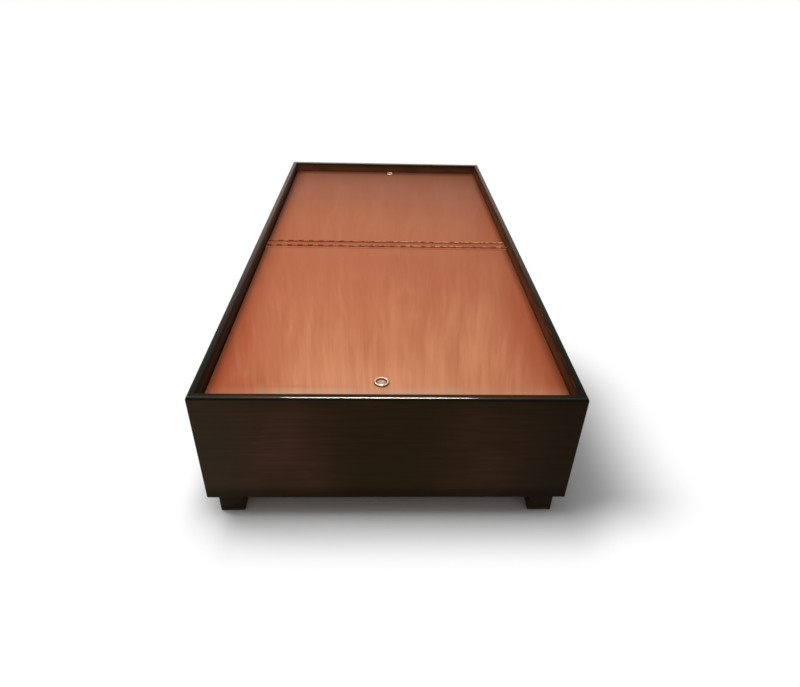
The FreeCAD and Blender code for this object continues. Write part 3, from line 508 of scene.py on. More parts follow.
class Recipe:
    """Adds nodes to a tree and wires them to what they are given"""

    def __init__(self, tree):
        self.tree = tree

    def found(self, kind):
        """The node of this kind that the tree came with"""
        return next(node for node in self.tree.nodes if node.type == kind)

    def add(self, kind, inputs=None, **settings):
        """A new node with these settings, whose sockets are fed with these inputs"""
        made = self.tree.nodes.new(kind)
        for name, value in settings.items():
            setattr(made, name, value)
        for socket, value in (inputs or {}).items():
            self.feed(made.inputs[socket], value)
        return made

    def feed(self, socket, value):
        """Links a socket to another one, or sets it to a plain value"""
        if isinstance(value, Value):
            value = value.socket
        if isinstance(value, bpy.types.NodeSocket):
            self.tree.links.new(value, socket)
        elif socket.type == "RGBA" and len(value) == 3:
            socket.default_value = (*value, 1)
        else:
            socket.default_value = value

    def math(self, operation, first, second=0.0):
        made = self.add("ShaderNodeMath", {0: first, 1: second}, operation=operation)
        return Value(self, made.outputs[0])

    def vector(self, operation, first, second=(0, 0, 0)):
        """The outputs of a vector node, one of which holds the result"""
        return self.add("ShaderNodeVectorMath", {0: first, 1: second}, operation=operation).outputs

    def length(self, place):
        return Value(self, self.vector("LENGTH", place)["Value"])

    def triple(self, x, y, z):
        return self.add("ShaderNodeCombineXYZ", {"X": x, "Y": y, "Z": z}).outputs[0]

    def axes(self, place):
        made = self.add("ShaderNodeSeparateXYZ", {"Vector": place})
        return [Value(self, socket) for socket in made.outputs]

    def turned(self, place, axis):
        """A place turned so that X runs along the grain"""
        return self.add("ShaderNodeMapping", {"Vector": place, "Rotation": GRAIN_TURNS[axis]}).outputs[0]

    def noise(self, place, scale, detail, roughness=0.5):
        made = self.add("ShaderNodeTexNoise", {
            "Vector": place, "Scale": scale, "Detail": detail, "Roughness": roughness})
        return Value(self, made.outputs["Fac"])

    def mix(self, part, first, second):
        """A colour between two, by part"""
        made = self.add("ShaderNodeMix", data_type="RGBA")
        colours = [socket for socket in made.inputs if socket.type == "RGBA"]
        self.feed(made.inputs["Factor"], part)
        self.feed(colours[0], first)
        self.feed(colours[1], second)
        return next(socket for socket in made.outputs if socket.type == "RGBA")

    def seen(self):
        """1 for what the camera, a reflection or a clear piece sees, 0 for the light on things"""
        rays = self.add("ShaderNodeLightPath").outputs
        mirrored = self.math("MAXIMUM", rays["Is Glossy Ray"], rays["Is Transmission Ray"])
        return self.math("MAXIMUM", rays["Is Camera Ray"], mirrored)

    def bump(self, height, depth, strength):
        made = self.add("ShaderNodeBump", {"Height": height, "Distance": depth, "Strength": strength})
        return made.outputs["Normal"]

    def group(self, name, **inputs):
        """The outputs of a node group, whose inputs are named in lower case here"""
        made = self.add("ShaderNodeGroup", node_tree=bpy.data.node_groups[name])
        for socket, value in inputs.items():
            self.feed(made.inputs[socket.title()], value)
        return [Value(self, socket) for socket in made.outputs]

    def grain(self, place, **inputs):
        """Streaks and fibres of wood along X"""
        return self.group("Wood Grain", place=place, **inputs)

    def blotches(self, place, **inputs):
        return self.group("Blotches", place=place, **inputs)[0]


class Finish(Recipe):
    """A Principled material on Object coordinates, whose colours are laid one over the other"""

    def __init__(self, name, rough, **plain):
        """Plain holds the values that are the same all over the surface"""
        made = bpy.data.materials.new(name)
        made.use_nodes = True
        super().__init__(made.node_tree)
        self.shader = self.found("BSDF_PRINCIPLED")
        self.shader.inputs["Roughness"].default_value = rough
        for socket, value in plain.items():
            self.shader.inputs[socket.replace("_", " ")].default_value = value
        self.place = self.add("ShaderNodeTexCoord").outputs["Object"]
        self.base = None

    def layers(self, foot, layer):
        """The cut layers of a sheet of plywood, counted from its underside"""
        return self.group("Laminations", place=self.place, foot=foot, layer=layer)[0]

    def lay(self, part, colour, strength=1.0):
        """Lays a colour over the ones below it, where part is high"""
        self.base = self.mix(part if strength == 1.0 else part * strength, self.base, colour)

    def wire(self, **inputs):
        """Feeds the shader with the laid colour and with these"""
        self.feed(self.shader.inputs["Base Color"], self.base)
        for socket, value in inputs.items():
            self.feed(self.shader.inputs[socket.replace("_", " ")], value)


class GroupMarks:
    """Limits inside the node groups"""
    drift_scale = 2.2
    fibre_fineness = 8.0
    contrast = 0.30, 0.70
    glue_line = 0.42, 0.58
    upright = 0.6


def new_group(name, inputs, *outputs):
    """A node group with named sockets: returns its recipe, its inputs and its outputs"""
    tree = bpy.data.node_groups.new(name, "ShaderNodeTree")
    for label, value in inputs.items():
        kind = "NodeSocketVector" if value is None else "NodeSocketFloat"
        socket = tree.interface.new_socket(label, in_out="INPUT", socket_type=kind)
        if value is not None:
            socket.default_value = value
    for label in outputs:
        tree.interface.new_socket(label, in_out="OUTPUT", socket_type="NodeSocketFloat")
    recipe = Recipe(tree)
    given = {socket.name: Value(recipe, socket) for socket in recipe.add("NodeGroupInput").outputs}
    return recipe, given, recipe.add("NodeGroupOutput").inputs


def started(recipe, given):
    """The group's place, moved on by its start, so that no two pieces match"""
    start = recipe.triple(given["Start"], given["Start"], given["Start"])
    return recipe.vector("ADD", given["Place"], start)["Vector"]


def grain_group():
    """Wood grain along X: broad streaks and fine fibres"""
    recipe, given, made = new_group(
        "Wood Grain", {"Place": None, "Stretch": 14.0, "Fineness": 60.0, "Wander": 0.01, "Start": 0.0},
        "Streaks", "Fibres")
    place = started(recipe, given)
    drift = recipe.add("ShaderNodeTexNoise", {
        "Vector": place, "Scale": GroupMarks.drift_scale, "Detail": 1.0}).outputs["Color"]
    drift = recipe.vector("SUBTRACT", drift, (0.5, 0.5, 0.5))["Vector"]
    reach = recipe.triple(0.0, given["Wander"], given["Wander"])
    drift = recipe.vector("MULTIPLY", drift, reach)["Vector"]
    place = recipe.vector("ADD", place, drift)["Vector"]
    slim = recipe.triple(1.0 / given["Stretch"], 1.0, 1.0)
    along = recipe.vector("MULTIPLY", place, slim)["Vector"]
    streaks = recipe.noise(along, given["Fineness"], detail=3.0, roughness=0.55)
    fibres = recipe.noise(along, given["Fineness"] * GroupMarks.fibre_fineness, detail=2.0)
    recipe.feed(made["Streaks"], streaks.rise(*GroupMarks.contrast))
    recipe.feed(made["Fibres"], fibres.rise(*GroupMarks.contrast))


def blotch_group():
    """Soft uneven patches, as from a rubbed stain or from handling"""
    recipe, given, made = new_group(
        "Blotches", {"Place": None, "Size": 0.2, "Cover": 0.5, "Softness": 0.2, "Start": 0.0}, "Mask")
    cloud = recipe.noise(started(recipe, given), 1.0 / given["Size"], detail=3.0)
    level = 1.0 - given["Cover"]
    recipe.feed(made["Mask"], cloud.rise(level - given["Softness"], level + given["Softness"]))


def speck_group():
    """Scattered small specks, as of dust"""
    recipe, given, made = new_group(
        "Specks", {"Place": None, "Spacing": 0.02, "Size": 0.1, "Amount": 0.2}, "Mask")
    cells = recipe.add("ShaderNodeTexVoronoi", {
        "Vector": given["Place"], "Scale": 1.0 / given["Spacing"]}).outputs
    dot = recipe.math("LESS_THAN", cells["Distance"], given["Size"])
    draw = recipe.add("ShaderNodeSeparateColor", {"Color": cells["Color"]}).outputs["Red"]
    recipe.feed(made["Mask"], dot * recipe.math("LESS_THAN", draw, given["Amount"]))


def lamination_group():
    """The layers that show on a cut edge of plywood, and nothing on its faces"""
    recipe, given, made = new_group(
        "Laminations", {"Place": None, "Foot": 0.0, "Layer": 1.5 * MM}, "Layers")
    height = recipe.axes(given["Place"])[2]
    up = recipe.axes(recipe.add("ShaderNodeTexCoord").outputs["Normal"])[2]
    edge = recipe.math("LESS_THAN", abs(up), GroupMarks.upright)
    layer = recipe.math("PINGPONG", (height - given["Foot"]) / given["Layer"], 1.0)
    recipe.feed(made["Layers"], layer.rise(*GroupMarks.glue_line) * edge)


# Finishes. Each class of marks says where a mark starts and where it is full, in metres on the
# piece, or between which two values a mask turns. A strength is how much of a colour shows at most.

GRAIN_TURNS = {"X": (0, 0, 0), "Y": (0, 0, math.pi / 2), "Z": (0, math.pi / 2, 0)}
WARM_GLOSS = (1.0, 0.82, 0.66, 1)
STAIN_GLOSS = (1.0, 0.75, 0.6, 1)
PLY_LAYER = 1.3 * MM
SCUFFED = 0.8, 1.4


class DarkMarks:
    """The dark stain: the middle and the reach of the reddish patches, and how far up they show"""
    ends = 0.255, 0.19
    sides = 0.52, 0.40
    feet = 0.27, 0.17
    feet_start = 9.3
    core = 0.15
    upper = CAD_HIGH.z, CAD_HIGH.z - 80 * MM
    lower = BOARD_UNDER - 60 * MM, BOARD_UNDER + 70 * MM
    patchy = 0.45, 1.0
    fading = 0.25, 1.0
    grain = 0.32, 0.78
    red_grain = 0.42, 0.66
    sole_dust = 12 * MM, 0.0
    sole_gloss = 0.36, 0.55


class BoardMarks:
    """The outer boards"""
    left = -0.25, CAD_LOW.x
    right = 0.0, CAD_HIGH.x
    foot = BOARD_UNDER + 50 * MM, BOARD_UNDER + 10 * MM
    far = CAD_LOW.y, 0.85 * CAD_HIGH.y
    near_right = CAD_LOW.y, -0.1
    near_right_shade = 0.75, 0.16
    near_half = 0.0, CAD_LOW.y / 2
    far_half = 0.0, INNER_HIGH.y
    rim_flat = 13 * MM, 11 * MM
    rim_nose = 11 * MM, 13 * MM
    rim_middle = INNER_HIGH.x, 0.34
    lip = CAD_HIGH.z - 9 * MM, CAD_HIGH.z - 7 * MM
    rim = CAD_HIGH.z - 2.6 * MM, CAD_HIGH.z - 1 * MM
    nosing = CAD_HIGH.z - 2.6 * MM, CAD_HIGH.z - 2 * MM
    wall = 0.0, 2 * MM
    to_right = -INNER_HIGH.x, INNER_HIGH.x
    to_far = -INNER_HIGH.y, INNER_HIGH.y
    near_corner = -0.98, -0.60
    near_corner_stain = 0.45, 1.0
    least_stain = 0.04, 1.0
    runs = CAD_HIGH.z, LID_TOP
    smeared = 0.45, 1.0
    inside_sheen = LID_TOP + 14 * MM, CAD_HIGH.z - 4 * MM
    foot_shade_inside = LID_TOP + 20 * MM, LID_TOP
    foot_shade_strength = 0.85, 0.25
    arris_under = CAD_HIGH.z - 14 * MM, CAD_HIGH.z - 6 * MM
    arris_over = CAD_HIGH.z - 2 * MM, CAD_HIGH.z - 5 * MM
    arris_side = 0.9 * INNER_HIGH.x, INNER_HIGH.x
    arris_glint = 0.62, 0.85
    raw_grain = 0.2, 0.8
    ragged = 6 * MM
    stain_stop = LID_UNDER - 6 * MM, LID_UNDER - 9 * MM
    underside = BOARD_UNDER, BOARD_UNDER + 1 * MM
    handled = 0.33, 0.39
    raw_rough = 0.7
    coat = 0.14


class LidMarks:
    """The lids and the strip between them"""
    spread = 2.4
    near = -0.08, -0.82
    right = 0.0, 0.2
    open_reach = 0.34, 0.195
    open_wood = 0.15, 1.0
    rubbed = 0.55, 1.0
    far_calm = 0.22, 1.0
    red_start = 0.0, -0.15
    red_end = -0.66, -0.36
    patchy = 0.45, 1.0
    pale_stroke = 0.52, 1.0
    deep_stroke = 0.48, 0.0
    ragged = 0.04
    board_side = 0.12, 0.0
    board_side_near = 0.30, 1.0
    band_start = -0.861, -0.869
    band_end = -0.883, -0.875
    band_left = -0.04, -0.14
    band_strength = 0.20, 0.55
    left_corner_x = -0.20, -0.42
    left_corner_y = -0.76, -0.88
    left_corner_strength = 0.75
    right_corner_x = 0.36, INNER_HIGH.x
    right_corner_y = -0.40, -0.90
    bare_middle = 0.06
    bare_x = 0.30, 0.06
    bare_y = -0.68, -0.86
    bare_strength = 0.25, 0.50
    fray = 0.012
    worn_y = -0.855, -0.912
    worn_strength = 0.30, 0.46
    worn_right = 0.05, 0.25
    worn_right_share = 1.0, 0.5
    worn_left = -0.40, -0.20
    worn_left_share = 0.40, 1.0
    far = 0.15, INNER_HIGH.y
    shade_and_grime_reach = 25 * MM, 32 * MM
    shade_and_grime = 1.0, 0.07
    shade_and_grime_strength = 0.52, 0.62
    far_shade_and_grime = 85 * MM, 0.0
    far_shade_and_grime_strength = 0.78
    far_shade = 300 * MM, 0.0
    far_shade_strength = 0.16
    layer = 1.4 * MM
    underside = LID_UNDER + 0.7 * MM, LID_UNDER + 0.2 * MM
    raw_grain = 0.15, 0.80
    gloss = 0.48, 0.38
    raw_rough = 0.65


class HingeMarks:
    """The hinge leaves"""
    rolled = LID_TOP + 0.9 * MM, LID_TOP + 1.4 * MM
    top = LID_TOP + 3.5 * MM, LID_TOP + 5.5 * MM
    right = -0.8 * INNER_HIGH.x, 0.5 * INNER_HIGH.x
    gloss = 0.55, 0.40


class PlateMarks:
    """The round plates under the rings"""
    bright = 11.5 * MM, 9.5 * MM
    rubbed = 0.75, 1.0
    bare_metallic = 0.15
    gloss = 0.30, 0.45


def dark_wood(finish, along, start, out, middle, reach):
    """The dark stain over fine straight grain, with a reddish patch each side of the middle"""
    look = bpy.context.scene.divan_colours
    marks = DarkMarks
    streaks, fibres = finish.grain(along, stretch=24.0, fineness=150.0, wander=0.012, start=start)
    patch = finish.blotches(along, size=0.22, softness=0.14, start=start)
    z = finish.axes(finish.place)[2]
    tall = z.rise(*marks.upper) * z.rise(*marks.lower)
    warm = (1.0 - abs(out - middle).rise(marks.core * reach, reach)) * patch.blend(*marks.patchy)
    warm = warm * tall.blend(*marks.fading) * streaks.blend(*marks.red_grain)
    finish.base = finish.mix(streaks.blend(*marks.grain), look.board_dark, look.board_light)
    finish.lay(warm, look.board_red)
    finish.lay(fibres, look.board_dark, strength=0.22)


def lacquered_board(name, axis, start):
    """Very dark stained and lacquered wood of the outer boards, left raw inside the box"""
    look = bpy.context.scene.divan_colours
    marks = BoardMarks
    board = Finish(name, 0.36, Specular_IOR_Level=0.025, Specular_Tint=WARM_GLOSS,
                   Coat_Roughness=0.05, Coat_IOR=1.7)
    along = board.turned(board.place, axis)
    x, y, z = board.axes(board.place)
    across, lengthwise = abs(x), abs(y)
    outer_y = lengthwise - (INNER_HIGH.y + NEAR)
    is_end = axis == "X"
    if is_end:
        dark_wood(board, along, start, across, *DarkMarks.ends)
    else:
        dark_wood(board, along, start, lengthwise, *DarkMarks.sides)
    # painted light and shade: lighter to the left, where the side light comes from, and darker to the right;
    # also darker along the lower edge
    right_shade = x.rise(*marks.right)
    board.lay(x.rise(*marks.left), look.board_pale_sheen, strength=0.135)
    board.lay(right_shade, look.board_black, strength=0.34)
    board.lay(z.rise(*marks.foot), look.board_black, strength=0.54)
    # the upper edges are bare of red; a painted reflection makes them paler towards the far end, and painted
    # shade makes the right one darker, most at the near end
    rim_sheen = board.mix(y.rise(*marks.far), look.board_rim, look.board_pale_sheen)
    rim_sheen = board.mix(right_shade * y.rise(*marks.near_right).blend(*marks.near_right_shade),
                     rim_sheen, look.board_black)
    if is_end:
        flat = y.rise(*marks.near_half) * outer_y.rise(*marks.rim_flat) * across.rise(*marks.rim_middle)
        rim_sheen = board.mix(flat, rim_sheen, look.board_warm)
        # painted reflection: the far board's upper edge is paler still
        rim_sheen = board.mix(y.rise(*marks.far_half) * 0.52, rim_sheen, look.lid_dust_and_sheen)
    # painted shade: the lower part of the ends' rounded edge is laid near black, where it shows no reflection
    end_lip = z.rise(*marks.lip) * outer_y.rise(*marks.rim_nose)
    board.lay(end_lip, look.board_black, strength=0.85)
    board.lay(z.rise(*marks.rim), rim_sheen)
    # inside the box, the lids' stain has run onto the far and the right board
    beyond = (across - (INNER_HIGH.x + NEAR)) | outer_y
    inside = 1.0 - beyond.rise(*marks.wall)
    if is_end:
        stained = y.rise(*marks.to_far)
    else:
        stained = x.rise(*marks.to_right) * y.rise(*marks.near_corner).blend(*marks.near_corner_stain)
    stained = stained.blend(*marks.least_stain)
    smear = board.blotches(along, size=0.12, cover=0.6, start=start + 3)
    smear = z.rise(*marks.runs).blend(0.0, smear.blend(*marks.smeared))
    board.lay(inside * (smear * stained), look.board_inside)
    # painted reflection: where no stain ran, the upper inner faces take the edges' paler tone
    board.lay(inside * z.rise(*marks.inside_sheen) * (1.0 - stained), rim_sheen)
    # painted shade at the foot of the inner faces, where they meet the lids, strongest where no stain ran
    board.lay(inside * z.rise(*marks.foot_shade_inside) * stained.blend(*marks.foot_shade_strength), look.board_deep_shade)
    # painted highlight: pale streaks along the right board's inner arris, where it catches the light
    streaks, fibres = board.grain(along, stretch=14.0, fineness=160.0, wander=0.0, start=start + 5)
    arris = z.rise(*marks.arris_under) * z.rise(*marks.arris_over) * x.rise(*marks.arris_side)
    board.lay(inside * arris * streaks.rise(*marks.arris_glint), look.plate_stain_shade_and_glint, strength=0.6)
    # below the lids the boards are raw, with a ragged line where the stain stopped
    raw = board.mix(streaks.blend(*marks.raw_grain), look.ply_pale, look.ply_deep)
    raw = board.mix(fibres * 0.3, raw, look.ply_deep)
    below = inside * (z - streaks * marks.ragged).rise(*marks.stain_stop) * z.rise(*marks.underside)
    board.lay(below, raw)
    # the lacquer is thickest on the rounded edge of the two ends
    handled = board.blotches(board.place, size=0.06, softness=0.25, start=start + 7)
    board.wire(Roughness=below.blend(handled.blend(*marks.handled), marks.raw_rough),
               Coat_Weight=z.rise(*marks.nosing) * end_lip * marks.coat)


def foot_wood(name):
    """The same stain on the feet, darker, and dull with floor dust at the sole"""
    look = bpy.context.scene.divan_colours
    foot = Finish(name, 0.42, Specular_IOR_Level=0.05, Specular_Tint=WARM_GLOSS)
    x, _, z = foot.axes(foot.place)
    dark_wood(foot, foot.turned(foot.place, "Z"), DarkMarks.feet_start, abs(x), *DarkMarks.feet)
    foot.lay(0.45, look.soot)
    dust = foot.blotches(foot.place, size=0.03)
    foot.lay(dust * z.rise(*DarkMarks.sole_dust), look.timber_pale, strength=0.15)
    foot.wire(Roughness=dust.blend(*DarkMarks.sole_gloss))


def stained_lid(name):
    """Plywood under a reddish brown brushed stain"""
    look = bpy.context.scene.divan_colours
    marks = LidMarks
    lid = Finish(name, 0.42, Specular_IOR_Level=0.02, Specular_Tint=STAIN_GLOSS)
    x, y, z = lid.axes(lid.place)
    # the brush strokes spread towards the far end
    spread = marks.spread / (y + marks.spread)
    along = lid.turned(lid.triple(x * spread, y, z), "Y")
    broad, _ = lid.grain(along, stretch=7.0, fineness=13.0, wander=0.08, start=2.0)
    wide, _ = lid.grain(along, stretch=13.0, fineness=28.0, wander=0.09, start=5.0)
    slim, _ = lid.grain(along, stretch=16.0, fineness=60.0, wander=0.05, start=3.0)
    hairs, pores = lid.grain(along, stretch=26.0, fineness=120.0, wander=0.05, start=8.0)
    cloud = lid.blotches(lid.place, size=0.3, softness=0.22, start=1.0)
    worked = lid.blotches(lid.place, size=0.16, softness=0.18, start=6.0)
    beside = INNER_HIGH.x - abs(x)
    nearness = y.rise(*marks.near)
    right = x.rise(*marks.right)
    open_wood = (beside / right.blend(*marks.open_reach)).rise(*marks.open_wood)
    rubbed = open_wood * broad.blend(*marks.rubbed) * nearness.blend(*marks.far_calm)
    lid.base = lid.mix(rubbed, look.lid_ground, look.lid_middle)
    lid.lay(cloud, look.lid_edge, strength=0.12)
    lid.lay(y.rise(*marks.red_start) * y.rise(*marks.red_end) * open_wood, look.lid_edge, strength=0.16)
    # soft wide strokes and fewer slim ones, stronger in some places than in others
    shown = worked.blend(*marks.patchy) * nearness.blend(*marks.far_calm)
    for strokes, strength in ((wide, 0.27), (slim, 0.11)):
        lid.lay(strokes.rise(*marks.pale_stroke) * shown, look.lid_pale_and_glare, strength)
        lid.lay(strokes.rise(*marks.deep_stroke) * shown, look.lid_streak, strength)
    lid.lay(hairs, look.lid_pale_and_glare, strength=0.06)
    lid.lay(pores, look.lid_streak, strength=0.06)
    # more stain was left beside the boards, in the two near corners and along the near board up to the pull
    gathered = (beside + (broad - 0.5) * marks.ragged).rise(*marks.board_side)
    gathered = gathered * nearness.blend(*marks.board_side_near)
    band = y.rise(*marks.band_start) * y.rise(*marks.band_end) * x.rise(*marks.band_left)
    gathered = gathered | band * broad.blend(*marks.band_strength)
    left_corner = x.rise(*marks.left_corner_x) * y.rise(*marks.left_corner_y)
    gathered = gathered | left_corner * marks.left_corner_strength
    lid.lay(gathered, look.lid_edge, strength=0.9)
    right_corner = x.rise(*marks.right_corner_x) * y.rise(*marks.right_corner_y)
    lid.lay(right_corner, look.lid_streak, strength=0.60)
    # round the near pull the wood is almost bare, and this paler patch is partly a painted highlight; along
    # the near board it is worn grey
    bare_and_glare = abs(x + marks.bare_middle).rise(*marks.bare_x) * y.rise(*marks.bare_y)
    lid.lay(bare_and_glare * slim.blend(*marks.bare_strength), look.lid_pale_and_glare)
    worn = (y + (wide - 0.5) * marks.fray).rise(*marks.worn_y) * broad.blend(*marks.worn_strength)
    worn = worn * x.rise(*marks.worn_right).blend(*marks.worn_right_share)
    worn = worn * x.rise(*marks.worn_left).blend(*marks.worn_left_share)
    lid.lay(worn, look.lid_dust_and_sheen)
    # painted shade: darker towards the far end
    lid.lay(y.rise(*marks.far), look.lid_far_shade, strength=0.6)
    # painted shade with some dirt along the boards, least at the left one and most at the far one
    shade_and_grime = (beside / right.blend(*marks.shade_and_grime_reach)).rise(*marks.shade_and_grime)
    shade_and_grime = shade_and_grime * right.blend(*marks.shade_and_grime_strength)
    behind = INNER_HIGH.y - y
    shade_and_grime = shade_and_grime | behind.rise(*marks.far_shade_and_grime) * marks.far_shade_and_grime_strength
    shade_and_grime = shade_and_grime | behind.rise(*marks.far_shade) * marks.far_shade_strength
    lid.lay(shade_and_grime, look.lid_shade)
    dust, = lid.group("Specks", place=lid.place, spacing=0.045, size=0.022, amount=0.35)
    lid.lay(dust, look.ply_pale, strength=0.5)
    lid.lay(lid.layers(LID_UNDER, marks.layer), look.ply_glue, strength=0.7)
    # the undersides are raw
    under = z.rise(*marks.underside)
    raw = lid.mix(slim.blend(*marks.raw_grain), look.ply_pale, look.ply_deep)
    lid.lay(under, lid.mix(pores * 0.3, raw, look.ply_deep))
    lid.wire(Roughness=under.blend(broad.blend(*marks.gloss), marks.raw_rough),
             Normal=lid.bump(slim + hairs, depth=0.04 * MM, strength=0.4))


def raw_wood(name, axis, rough, pale, deep, grain, wear, gloss, bump, foot=None):
    """Wood without a finish. A sheet of plywood, given by its underside, shows its layers where it is cut"""
    wood = Finish(name, rough, Specular_IOR_Level=0.3)
    streaks, fibres = wood.grain(wood.turned(wood.place, axis), fineness=60.0, **grain)
    wood.base = wood.mix(streaks, pale, deep)
    wood.lay(fibres, deep, strength=wear["fibres"])
    wood.lay(wood.blotches(wood.place, size=wear["size"], cover=wear["cover"]), deep, wear["strength"])
    if foot is not None:
        glue = bpy.context.scene.divan_colours.ply_glue
        wood.lay(wood.layers(foot, PLY_LAYER), glue, strength=0.75)
    wood.wire(Roughness=streaks.blend(*gloss), Normal=wood.bump(fibres, depth=0.05 * MM, strength=bump))


def raw_ply(name, foot):
    """Plywood without a finish"""
    look = bpy.context.scene.divan_colours
    raw_wood(
        name, "X", 0.7, look.ply_pale, look.ply_deep, gloss=(0.62, 0.75), bump=0.7, foot=foot,
        grain={"stretch": 14.0, "wander": 0.05, "start": 11.0},
        wear={"fibres": 0.3, "size": 0.25, "cover": 0.45, "strength": 0.25})


def planed_timber(name, axis):
    """Planed softwood of the framing"""
    look = bpy.context.scene.divan_colours
    raw_wood(
        name, axis, 0.6, look.timber_pale, look.timber_deep, gloss=(0.55, 0.68), bump=0.6,
        grain={"stretch": 18.0, "wander": 0.03, "start": 4.0},
        wear={"fibres": 0.25, "size": 0.15, "cover": 0.4, "strength": 0.2})


def stained_hinge(name, knuckle):
    """Sheet metal stained over with the lids and worn bright in places, the bright spots partly a painted
    highlight
    """
    look = bpy.context.scene.divan_colours
    marks = HingeMarks
    leaf = Finish(name, 0.4, Specular_IOR_Level=0.04)
    x, _, z = leaf.axes(leaf.place)
    # the knuckles' tops are rubbed most, and more to the right; their bare metal is partly a painted
    # highlight
    right = x.rise(*marks.right)
    wear = leaf.blotches(leaf.place, size=0.018, cover=0.48, softness=0.05)
    wear = wear * (z.rise(*marks.top) * right)
    cloud = leaf.blotches(leaf.place, size=0.05)
    leaf.base = leaf.mix(cloud * 0.4, look.hinge_stain, look.lid_streak)
    # the fixed leaves' darker knuckles are partly painted shade, standing in for the shadow in the slots
    # between the knuckles
    leaf.lay(z.rise(*marks.rolled), leaf.mix(right * 0.45, knuckle, look.hinge_stain))
    leaf.lay(wear, look.bare_metal_and_glint)
    leaf.wire(Roughness=wear.blend(*marks.gloss), Normal=leaf.bump(cloud, depth=0.05 * MM, strength=0.5))


def stained_plate(name):
    """Plated metal with the lids' stain brushed thinly over it"""
    look = bpy.context.scene.divan_colours
    marks = PlateMarks
    plate = Finish(name, 0.35, Specular_IOR_Level=0.1)
    out = []
    for end in ("front", "back"):
        low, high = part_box(f"{end}_pull_plate")
        offset = plate.vector("SUBTRACT", plate.place, tuple((low + high) / 2))["Vector"]
        out.append(plate.length(offset))
    cloud = plate.blotches(plate.place, size=0.012, softness=0.15)
    # the stain stayed in the hollow under the ring and round the rim, and its dark there is partly painted
    # shade where the ring's shadow falls; the middle is rubbed bright
    bright = plate.math("MINIMUM", *out).rise(*marks.bright) * cloud.blend(*marks.rubbed)
    plate.base = plate.mix(cloud * 0.45, look.plate_stain_shade_and_glint, look.lid_shade)
    plate.lay(bright, look.plate_bare)
    plate.wire(Metallic=bright * marks.bare_metallic, Roughness=cloud.blend(*marks.gloss),
               Normal=plate.bump(cloud, depth=0.03 * MM, strength=0.5))


def plain_metal(name, shown, rough, dirt, metallic=1.0):
    """Plated or drawn metal with fine scuffs and some dirt"""
    look = bpy.context.scene.divan_colours
    metal = Finish(name, rough, Metallic=metallic)
    _, scuffs = metal.grain(metal.place, stretch=6.0, fineness=700.0, wander=0.002, start=1.0)
    cloud = metal.blotches(metal.place, size=0.006, cover=0.4)
    metal.base = metal.mix(cloud * dirt, shown, look.soot)
    metal.wire(Roughness=((scuffs + cloud) * 0.5).blend(*(rough * part for part in SCUFFED)),
               Normal=metal.bump(scuffs, depth=0.01 * MM, strength=0.3))


def finish_carried_nodes():
    """Frame meshes that stay in view take a finish of this file too"""
    carried = {
        "bottom_panel": "Raw Ply Panel",
        "centre_partition": "Raw Ply Partition",
        "foot_bolts": "Screw Metal",
        "foot_washers": "Screw Metal",
    }
    for node, finish in carried.items():
        NODES[node].material_slots[0].material = bpy.data.materials[finish]


class DIVAN_OT_finishes(bpy.types.Operator):
    """Makes the node groups and the materials"""
    bl_idname = "divan.finishes"
    bl_label = "Finishes"
    bl_options = {"REGISTER", "UNDO"}

    def execute(self, context):
        look = context.scene.divan_colours
        grain_group()
        blotch_group()
        speck_group()
        lamination_group()
        lacquered_board("Board Across", "X", start=1.7)
        lacquered_board("Board Along", "Y", start=6.1)
        foot_wood("Foot Wood")
        stained_lid("Stained Lid")
        raw_ply("Raw Ply Panel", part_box("bottom_panel")[0].z)
        raw_ply("Raw Ply Partition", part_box("centre_partition")[0].z)
        for axis in ("X", "Y", "Z"):
            planed_timber(f"Timber {axis}", axis)
        stained_hinge("Lid Leaf", look.hinge_stain)
        stained_hinge("Fixed Leaf", look.hinge_dark_and_shade)
        stained_plate("Stained Plate")
        plain_metal("Pin Metal", look.pin_metal, rough=0.35, dirt=0.3)
        plain_metal("Pull Metal", look.pull_metal, rough=0.15, dirt=0.12)
        plain_metal("Screw Metal", look.screw_metal, rough=0.32, dirt=0.25)
        plain_metal("Stained Screw", look.hinge_stain, rough=0.45, dirt=0.35, metallic=0.15)
        finish_carried_nodes()
        return {"FINISHED"}


